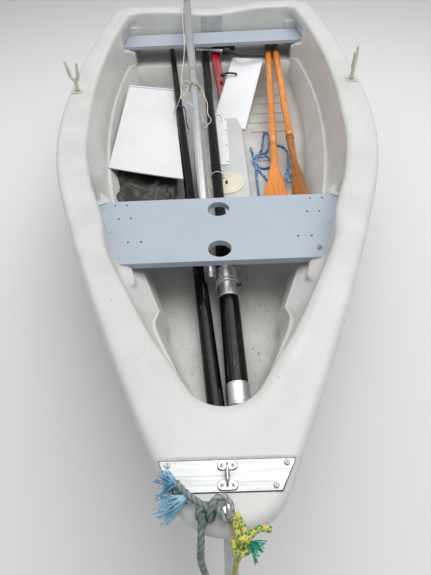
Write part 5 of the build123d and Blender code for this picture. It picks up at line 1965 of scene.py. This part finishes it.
@dataclass
class Rowlock:
    """Coated crutch with two flared horns that turns on its pin."""

    side: str
    y: float
    turn: float
    x: float = 1080.0
    seat_z: float = 735.75
    tube_r: float = 7.0
    sides: int = 16
    shank_lift: float = 5.6
    screw_reach: float = 18.0

    def build(self) -> None:
        """Makes the horns as one skin and the shank, and adds the screws of the sockets."""
        spin = Matrix.Rotation(math.radians(self.turn), 3, "Z")
        arm = [(34, 140), (32, 124), (28, 104), (26, 84), (22, 66), (12, 56)]
        horn = [(0, -y, z) for y, z in arm] + [(0, 0, 53)] + [(0, y, z) for y, z in reversed(arm)]
        path = spline_points(horn, 4.0)
        points = []
        for i, p in enumerate(path):
            t = i / (len(path) - 1)
            low = 1 - abs(2 * t - 1)
            radius = self.tube_r * (0.78 + 0.5 * smooth(0.0, 0.9, low))
            if i in (0, len(path) - 1):
                radius *= 0.55
            ahead = (path[min(i + 1, len(path) - 1)] - path[max(i - 1, 0)]).normalized()
            across = Vector((1, 0, 0))
            other = ahead.cross(across)
            for k in range(self.sides):
                a = 2 * math.pi * k / self.sides
                spot = p + (across * math.cos(a) * 1.1 + other * math.sin(a)) * radius
                q = spin @ spot
                points.append(at(self.x + q.x, self.y + q.y, self.seat_z + q.z))
        body = f"rowlock_{self.side}"
        faces = tube_faces(len(path), self.sides)
        horns = mesh_piece(f"rowlock_horns_{self.side}", points, faces, ROWLOCK_SKIN, body)
        shank = [(6.0, -38), (6.0, -1), (13, -0.2), (13.5, 3), (9.5, 7), (8.8, 20), (9.2, 40), (11, 50),
                 (10, 58)]
        lathe(f"rowlock_shank_{self.side}", shank, (self.x, self.y, self.seat_z + self.shank_lift),
              (0, 0, 1), ROWLOCK_SKIN, body)
        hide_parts(body)
        reach = (-self.screw_reach, self.screw_reach)
        places = [(self.x + dx, self.y + dy, self.seat_z) for dx in reach for dy in reach]
        studs(f"rowlock_socket_screws_{self.side}", places, 3.6, 1.5, STAINLESS)


class BowFittings:
    """Bow plate, deck loop and eye with their fastenings."""

    feet_x = (2965.75, 3005.75)

    def build(self) -> None:
        """Dresses the fittings and adds screws, the roller, and dark rims under the loop's feet and the plate
        as painted shadow.
        """
        finish_nodes(PLATE_METAL, "bow_plate")
        finish_nodes(STAINLESS, "bow_deck_loop", "bow_eye")
        top = BOW_DECK_Z + 3
        screws = [(2963, -126, top), (2963, 126, top), (3008, 99, top), (3008, -99, top)]
        studs("bow_plate_screws", screws, 6.2, 3.0, STAINLESS)
        feet = [(x, y, top + 4) for x in self.feet_x for y in (-12, 12)]
        studs("deck_loop_screws", feet, 4.4, 1.6, STAINLESS)
        roller = [(3.0, 0), (4.8, 1.5), (5.4, 4), (5.4, 18), (4.8, 20.5), (3.0, 22)]
        lathe("deck_loop_roller", roller, (2974.75, 0, top + 15), (1, 0, 0), STAINLESS, segments=20)
        # Near-black discs in the screw heads: painted shade for their recesses
        recesses = [(x, y, top + 5.2) for x, y, _ in feet]
        studs("deck_loop_screw_recesses", recesses, 2.1, 0.5, PAINTED_HOLE_SHADE)
        # Dark rim just wider than the bow plate: painted shadow along the plate's edges
        bead = rounded_plan([(2952.4, -148), (3019.2, -111.8), (3019.2, 111.8), (2952.4, 148)], 4)
        slab("bow_plate_painted_shadow_rim", bead, BOW_DECK_Z - 0.5, BOW_DECK_Z + 1.4, RUBBER, 0.0)
        # Dark rims just wider than the loop's feet: painted shadow round the feet
        for end, x in zip(("aft", "fore"), self.feet_x):
            pad = [(x - 10.1, -21.1), (x + 10.1, -21.1), (x + 10.1, 21.1), (x - 10.1, 21.1)]
            slab(f"deck_loop_painted_shadow_rim_{end}", rounded_plan(pad, 9.8), top - 0.4, top + 0.9, RUBBER, 0.0)


class TransomFittings:
    """Pads on both faces of the transom, gudgeons and drain plug."""

    def build(self) -> None:
        """Dresses the fittings and adds the bolts of the pads and the screws of the gudgeons."""
        finish_nodes(PLATE_METAL, "transom_pad_inside")
        finish_nodes(PAD_SKIN, "transom_pad_outside")
        finish_nodes(STAINLESS, "gudgeons")
        finish_nodes(BLACK_PLASTIC, "drain_plug")
        studs("transom_pad_bolts", [(43.5, -14, 676), (43.5, 12, 676)], 5.5, 3.5, STAINLESS, (1, 0, 0.1))
        for i, (x, z) in enumerate(((0, 403.0), (-26, 562.7))):
            studs(f"gudgeon_screws_{i}", [(x, y, z) for y in (-32, 32)], 4.0, 1.8, STAINLESS, (-1, 0, 0))


class Rigging:
    """Loose lines that lie on the spars and the sole."""

    boom_fwd = Vector((2150.0, -41.0, 466.0))
    boom_aft = Vector((-48.0, -160.0, 773.0))
    boom_r = 23.0
    mast_r = 25.0
    collar_r = 42.0

    @staticmethod
    def on_axis(a: Vector, b: Vector, x: float) -> Vector:
        """Place on a spar's axis at a station."""
        return a.lerp(b, (x - a.x) / (b.x - a.x))

    def wraps(self, a: Vector, b: Vector, x: float, radius: float, turns: float, pitch: float,
              phase: float) -> list[Point]:
        """Control points of turns round a spar, aft to fore.

        Args:
            a: one end of the spar's axis.
            b: the other end.
            x: station of the first turn.
            radius: of the cord's centreline.
            turns: how many.
            pitch: advance a turn.
            phase: angle of the first point, in turns.

        Returns:
            Eight places a turn on a helix that the curve touches.
        """
        centre = self.on_axis(a, b, x)
        axis = (a - b).normalized()
        if axis.x < 0:
            axis = -axis
        side = Vector((0, 0, 1)).cross(axis).normalized()
        up = axis.cross(side)
        out = []
        for k in range(round(turns * 8) + 1):
            angle = 2 * math.pi * (phase + k / 8)
            grown = radius / math.cos(math.pi / 8)
            p = centre + axis * pitch * k / 8 + (side * math.cos(angle) + up * math.sin(angle)) * grown
            out.append(tuple(p))
        return out

    @staticmethod
    def loose_line(name: str, route: Sequence[Point], diameter: float, finish: Finish) -> None:
        """Thin line with bare ends that lies loose."""
        declare_cord(line_curve(name, route, diameter, finish), route, diameter)

    def build(self) -> None:
        """Makes the halyard, the lashings, the blue line and their ends."""
        self.halyard()
        self.lashings()
        self.blue_rope()
        log.info("rigging lines")

    def halyard(self) -> None:
        """White halyard along the boom, turned round it, with a hanging loop."""
        d, boom = 5.0, (self.boom_fwd, self.boom_aft)
        route = [(-31, -194, 774.6), (144, -185, 751.2), (302, -176, 729.1),
                 (404, -171, 714.9), (499, -167, 700.6), (601, -169, 684.4),
                 (636, -170, 677.5), (708, -176, 665.4), (781, -179, 655.2), (860, -181, 642.2),
                 (933, -179, 628.0), (970, -185, 618.8), (971, -199, 590.7), (975, -212, 568.1),
                 (993, -222, 547.6), (1009, -223, 533.4), (1034, -217, 521.9)]
        self.loose_line("halyard_white", route, d, WHITE_LINE)
        first = self.wraps(*boom, 712, self.boom_r + d / 2 + 1.2, 2.0, 20, 0.5)
        self.loose_line("halyard_turns", first, d, WHITE_LINE)
        second = self.wraps(*boom, 862, self.boom_r + d / 2 + 0.8, 3.0, 13, 0.1)
        second += [(875, -146, 668.1), (846, -165, 664.1), (855, -176, 654.9), (885, -166, 648.7),
                   (913, -141, 660.8), (946, -138, 658.2), (955, -157, 638.9), (976, -176, 628.0),
                   (982, -184, 631.1), (1036, -161, 641.6), (1080, -127, 644.4), (1122, -95, 637.6),
                   (1137, -76, 617.5), (1149, -64, 597.8), (1170, -59, 582.9)]
        loop = line_curve("halyard_loop", second, d, WHITE_LINE)
        hook = self.snap_hook((1170, -59, 582.9))
        declare_cord(loop, second, d)
        third = self.wraps(*boom, 878, self.boom_r + d * 1.5 + 1.6, 2.0, 15, 0.3)
        third += [(904, -72, 652.0), (929, -63, 634.5), (954, -56, 623.0), (986, -42, 606.6),
                  (1020, -38, 593.8), (1053, -41, 583.2), (1080, -36, 573.4), (1098, -24, 566.9),
                  (1115, -21, 562.6), (1137, -31, 559.5), (1149, -45, 559.8)]
        self.loose_line("halyard_tail", third, d, WHITE_LINE)

    def snap_hook(self, place: Point) -> bpy.types.Object:
        """Small grey snap hook on the loop's end.

        Args:
            place: where the loop ends.

        Returns:
            The new piece.
        """
        x, y, z = place
        bends = [(0, 0, 0), (8, -5, 2), (26, -8, 2), (42, -4, 0), (48, 8, -2), (40, 18, -2), (22, 16, 0),
                 (8, 9, 2), (3, 2, 3)]
        route = [(x + a, y + b, z + c) for a, b, c in bends]
        return line_curve("halyard_snap_hook", route, 7.0, ZINC)

    def lashings(self) -> None:
        """Blue line round the upper mast and white line round the mast's collar."""
        d, mast = 7.0, (LOWER_MAST_FWD, LOWER_MAST_AFT)
        turns = [(977, -215, 470.0), (958, -226, 478.0), (931, -233, 492.0), (896, -231, 508.0),
                 (876, -219, 524.0), (867, -203, 529.0), (869, -186, 529.0), (882, -171, 522.0),
                 (907, -166, 508.0), (951, -164, 494.0), (993, -162, 482.0), (1021, -149, 470.0)]
        self.loose_line("mast_lashing_blue", turns, d, NAVY_LINE)
        d = 5.0
        tie = self.wraps(*mast, 1476, self.mast_r + d / 2 + 0.6, 1.5, 12, 0.4)
        spare = self.on_axis(*mast, 1510)
        tie += [(1502, spare.y + 36, spare.z + 14), (1524, spare.y + 46, spare.z + 4)]
        self.loose_line("mast_tie_white", tie, d, WHITE_LINE)
        d = 4.0
        ring = self.wraps(*mast, 2142, self.collar_r + d / 2 + 0.8, 2.1, 15, 0.95)
        cord = line_curve("collar_lashing", ring, d, WHITE_LINE)
        end = ring[-1]
        clip = lathe("collar_cord_clip", [(5, -9), (7, -7), (7, 7), (5, 9)], end, (0.2, 1, 0.3),
                     BLACK_PLASTIC, segments=12)
        declare_cord(cord, ring, d)

    def blue_rope(self) -> None:
        """Blue braid with white flecks that lies in loops on the sole to port."""
        d, z = 12.0, FLOOR_Z + 6.5
        routes = {
            "long": [(1905, 190, 0), (1850, 190, 0), (1576, 205, 0), (1528, 203, 0), (1467, 202, 0),
                     (1382, 203, 0), (1293, 206, 0), (1223, 206, 0), (1149, 200, 0), (1088, 191, 0)],
            "short": [(1395, 254, 0), (1354, 240, 0), (1305, 221, 0), (1248, 201, 0), (1212, 194, 12),
                      (1182, 213, 12), (1172, 246, 12), (1135, 279, 0), (1057, 299, 0), (969, 304, 0),
                      (915, 292, 0), (953, 274, 0), (1041, 261, 0), (1128, 250, 13.2), (1188, 226, 19.2),
                      (1232, 205, 14.4), (1270, 215, 7.2), (1293, 243, 0), (1284, 275, 0), (1251, 296, 0),
                      (1210, 289, 4.8), (1200, 260, 19.2), (1215, 234, 19.2)],
            "tail": [(1062, 303, 0), (1068, 334, 0), (1081, 365, 0), (1116, 387, 0), (1167, 393, 0),
                     (1237, 385, 4), (1304, 372, 14), (1369, 353, 24), (1426, 343, 30), (1459, 350, 30),
                     (1460, 366, 30), (1430, 370, 36), (1394, 362, 40), (1347, 368, 34), (1310, 383, 26)],
        }
        for part, places in routes.items():
            route = raised(places, z)
            made = rope(f"blue_rope_{part}", [route], d, Lay.BRAID, BLUE_ROPE)
            declare_cord(made, route, d)


class Painters:
    """Two ropes made fast to the bow eye that hang down to the trolley."""

    grey_route = [
        (3061.0, -51.0, 803.5), (3086.5, -53.0, 803.5), (3108.7, -54.8, 790.8), (3121.4, -56.5, 768.6),
        (3121.9, -58.5, 735.0), (3120.0, -61.5, 672.0), (3122.0, -61.0, 550.0), (3119.0, -58.0, 428.0),
        (3123.0, -50.0, 340.0), (3130.0, -30.0, 286.0),
    ]
    yellow_route = [
        (3114.0, 22.0, 752.0), (3116.0, 19.0, 700.0), (3112.0, 13.0, 620.0), (3114.0, 8.0, 500.0),
        (3108.0, 6.0, 380.0), (3112.0, 2.0, 310.0), (3128.0, 1.0, 277.0),
    ]
    grey_d = 15.0
    yellow_d = 13.0

    def build(self) -> None:
        """Makes both painters with their knots, ties and frayed ends."""
        self.grey()
        self.yellow()
        log.info("painters")

    def turns_round_bar(self, x: float, d: float, turns: float) -> list[Point]:
        """Turns of rope round the square drawbar.

        Args:
            x: station of the first turn.
            d: the rope's thickness.
            turns: how many.

        Returns:
            Four control points a turn.
        """
        half = DRAWBAR_HALF + d / 2 + 0.5
        low, high = DRAWBAR_Z - half, DRAWBAR_Z + half
        square = [(half, high), (half + 1, low), (-half - 1, low), (-half, high)]
        out = []
        for k in range(round(turns * 4) + 1):
            y, z = square[k % 4]
            out.append((x + k * d * 1.04 / 4, y, z))
        return out

    def grey(self) -> None:
        """Grey three strand painter: a hitch on the eye and a blue frayed tail."""
        d, z = self.grey_d, BOW_DECK_Z + 8
        hitch = [(3056, 6, 1), (3040, 4, 4), (3030, -8, 10), (3034, -24, 16), (3052, -34, 18),
                 (3068, -38, 10), (3070, -36, -1), (3058, -30, -1), (3046, -36, 4), (3046, -50, 14),
                 (3060, -60, 16), (3074, -54, 10), (3076, -46, 1)]
        loop = [(3062, 8, 0), (3074, 0, 14), (3070, -12, 22), (3054, -20, 20), (3042, -30, 8),
                (3048, -44, 1), (3062, -50, 9)]
        tail = [(3058, -34, 14), (3048, -50, 16), (3036, -66, 12), (3024, -82, 9), (3012, -96, 9),
                (3000, -106, 10)]
        parts = [raised(part, z) for part in (hitch, loop, tail)] + [self.turns_round_bar(3138, d, 2.6)]
        knot = rope("painter_grey_hitch", parts, d, Lay.THREE_STRAND, GREY_ROPE)
        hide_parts("painter_grey_knots")
        fray_a = fibres("painter_grey_fray", (3004, -102, z + 10), (-0.15, -1, -0.05), 46, 44, 0.75,
                        BLUE_FRAY, 3)
        fray_b = fibres("painter_grey_fray_low", (3030, -84, z + 8), (0.35, -1, -0.1), 60, 62, 0.45,
                        BLUE_FRAY, 5)
        line = rope("painter_grey_rope", [self.grey_route], d, Lay.THREE_STRAND, GREY_ROPE)
        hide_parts("painter_grey")
        declare_cord(line, self.grey_route, d)

    def yellow(self) -> None:
        """Yellow and green braided painter with a knot below the stem."""
        d, z = self.yellow_d, BOW_DECK_Z + 8
        inner = [(3062, 6, 0), (3072, 10, 6), (3088, 14, 7), (3104, 18, 3), (3116, 20, -10), (3118, 22, -28)]
        outer = [(3060, 14, 0), (3074, 22, 6), (3092, 30, 6), (3106, 31, 1), (3117, 28, -14), (3116, 22, -32)]
        turn = [(3104, 8, -2), (3118, 6, -8), (3128, 18, -12), (3124, 34, -10), (3108, 38, -6),
                (3100, 28, 8), (3112, 18, 12)]
        tail = [(3110, 30, 6), (3100, 40, 10), (3090, 52, 10), (3088, 66, 9), (3092, 80, 8)]
        parts = [raised(part, z) for part in (inner, outer, turn, tail)]
        parts.append(self.turns_round_bar(3190, d, 2.6))
        knot = rope("painter_yellow_knot_rope", parts, d, Lay.BRAID, YELLOW_ROPE)
        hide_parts("painter_yellow_knots")
        fray = fibres("painter_yellow_fray", (3112, 36, z - 4), (0.5, 0.8, 0.1), 34, 30, 0.9, GREEN_FRAY, 11)
        line = rope("painter_yellow_rope", [self.yellow_route], d, Lay.BRAID, YELLOW_ROPE)
        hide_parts("painter_yellow")
        declare_cord(line, self.yellow_route, d)


@dataclass
class Trolley:
    """Launching trolley: zinced tubes, timber bunks, wheels and handle."""

    wheel_x: float = 1150.0
    wheel_y: float = 735.0
    tyre_r: float = 200.0
    rim_r: float = 112.0
    width: float = 90.0
    grip_y: float = 121.0
    ribs: int = 7

    def build(self) -> None:
        """Dresses the frame and makes the ribbed tyres."""
        finish_nodes(ZINC, "drawbar", "axle_beam", "cross_beam", "rest_leg", "tow_handle")
        finish_nodes(BUNK_WOOD, "bunks")
        finish_nodes(BUNK_FELT, "bunk_pads")
        finish_nodes(RUBBER, "keel_rest")
        finish_nodes(STRIP_METAL, "keel_strip")
        finish_nodes(SOCKET_SKIN, "rowlock_sockets")
        finish_nodes(WHEEL_SKIN, "wheel_rim_port", "wheel_rim_starboard")
        for side, out in SIDES:
            self.tyre(side, out * self.wheel_y)
        for side, out in SIDES:
            lathe(f"handle_grip_{side}", [(13, 0), (17.2, 2), (17.2, 106), (16, 110)],
                  (3445, out * self.grip_y, DRAWBAR_Z), (0, out, 0), RUBBER)
        bolts = [(x, y, DRAWBAR_Z - 60) for x in (1150, 1900) for y in (-330, 330)]
        studs("bunk_bolts", bolts, 9, 6, ZINC, (0, 0, -1))
        log.info("trolley")

    def tyre(self, side: str, y: float) -> None:
        """Balloon tyre with a ribbed tread.

        Args:
            side: port or starboard.
            y: middle of the tyre.
        """
        half, rim = self.width / 2, self.rim_r
        wall = [(rim, 8), (rim + 8, 3), (rim + 30, 0.5), (rim + 52, 2), (self.tyre_r - 18, 9)]
        profile = [(r, -half + inset) for r, inset in wall]
        for k in range(self.ribs):
            a = lerp(-half + 14, half - 14, k / (self.ribs - 1))
            crown = self.tyre_r - 12 * (a / half) ** 2
            profile += [(crown - 4.5, a - 5.2), (crown, a - 3.6), (crown, a + 3.6), (crown - 4.5, a + 5.2)]
        profile += [(r, half - inset) for r, inset in reversed(wall)]
        tyre = lathe(f"tyre_ribbed_{side}", profile, (self.wheel_x, y, self.tyre_r), (0, 1, 0), TYRE_RUBBER,
                     f"wheel_{side}", 72)
        ends = [f for f in tyre.data.polygons if len(f.vertices) > 4]
        work = bmesh.new()
        work.from_mesh(tyre.data)
        work.faces.ensure_lookup_table()
        bmesh.ops.delete(work, geom=[work.faces[f.index] for f in ends], context="FACES_ONLY")
        work.to_mesh(tyre.data)
        work.free()
        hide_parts(f"tyre_{side}")


@dataclass
class Studio:
    """Plain pale floor, soft lamps and the camera."""

    lens: float = 27.55
    camera_place: Point = (1.600, 0.004, 1.733)
    pitch: float = 49.03
    yaw: float = 1.36
    roll: float = -3.174
    floor_colour: str = "#e6e6e4"
    floor_half: float = 30.0
    sky_strength: float = 0.45

    def build(self) -> None:
        """Makes floor, world, lamps and camera."""
        self.floor()
        self.lamps()
        self.camera()

    def floor(self) -> None:
        """Large pale plane that keeps the object's shadow."""
        data = bpy.data.meshes.new("studio_floor")
        r = self.floor_half
        data.from_pydata([(-r, -r, 0), (r, -r, 0), (r, r, 0), (-r, r, 0)], [], [(0, 1, 2, 3)])
        floor = placed("studio_floor", data)
        material = bpy.data.materials.new("studio_floor")
        material.use_nodes = True
        shader = material.node_tree.nodes["Principled BSDF"]
        shader.inputs["Base Color"].default_value = srgb(self.floor_colour)
        shader.inputs["Roughness"].default_value = 0.9
        data.materials.append(material)

    def lamps(self) -> None:
        """Overcast sky from the world and three broad soft lamps."""
        world = bpy.data.worlds.new("soft_studio")
        bpy.context.scene.world = world
        world.use_nodes = True
        back = world.node_tree.nodes["Background"]
        back.inputs["Color"].default_value = (0.97, 0.98, 1.0, 1.0)
        back.inputs["Strength"].default_value = self.sky_strength
        for name, place, size, power in (("key", (-1.5, -2.4, 4.2), 3.5, 44.0),
                                         ("fill", (2.6, 2.8, 3.6), 3.5, 16.0),
                                         ("top", (-0.6, 1.1, 4.6), 4.0, 146.0)):
            data = bpy.data.lights.new(name, "AREA")
            data.size = size
            data.energy = power
            lamp = placed(name, data)
            lamp.location = place
            lamp.rotation_mode = "QUATERNION"
            lamp.rotation_quaternion = (Vector((0, 0, 0.5)) - Vector(place)).to_track_quat("-Z", "Y")

    def camera(self) -> None:
        """Camera above the bow, looking aft and down."""
        p, y, r = (math.radians(a) for a in (self.pitch, self.yaw, self.roll))
        ahead = Vector((-math.cos(p) * math.cos(y), -math.cos(p) * math.sin(y), -math.sin(p)))
        right = ahead.cross(Vector((0, 0, 1))).normalized()
        up = right.cross(ahead)
        right, up = right * math.cos(r) + up * math.sin(r), up * math.cos(r) - right * math.sin(r)
        data = bpy.data.cameras.new("camera")
        data.lens = self.lens
        data.sensor_width = 36.0
        camera = placed("camera", data)
        turn = Matrix((right, up, -ahead)).transposed().to_4x4()
        camera.matrix_world = Matrix.Translation(self.camera_place) @ turn
        bpy.context.scene.camera = camera


def main() -> None:
    """Builds the boat, its gear, the trolley and the studio in order."""
    HullMoulding().build()
    Thwarts().build()
    CentreCase().build()
    SteeringGear().build()
    Oar("oar_inner_spruce", "oar_inner", aft=(105, 371), fwd=(1800, 267), roll=0.0, blade_finish=OAR_WOOD,
        collar_at=0.0).build()
    Oar("oar_outer_spruce", "oar_outer", aft=(112, 415), fwd=(1800, 378), roll=-66.0,
        blade_finish=OAR_BROWN, collar_at=1046).build()
    Spars().build()
    SailBag().build()
    LockerBoard().build()
    Rowlock("port", y=684.0, turn=66.0).build()
    Rowlock("starboard", y=-684.0, turn=-25.0).build()
    BowFittings().build()
    TransomFittings().build()
    Rigging().build()
    Painters().build()
    Trolley().build()
    Studio().build()
    scene = bpy.context.scene
    scene.view_settings.view_transform = "Standard"


if __name__ == "__main__":
    main()
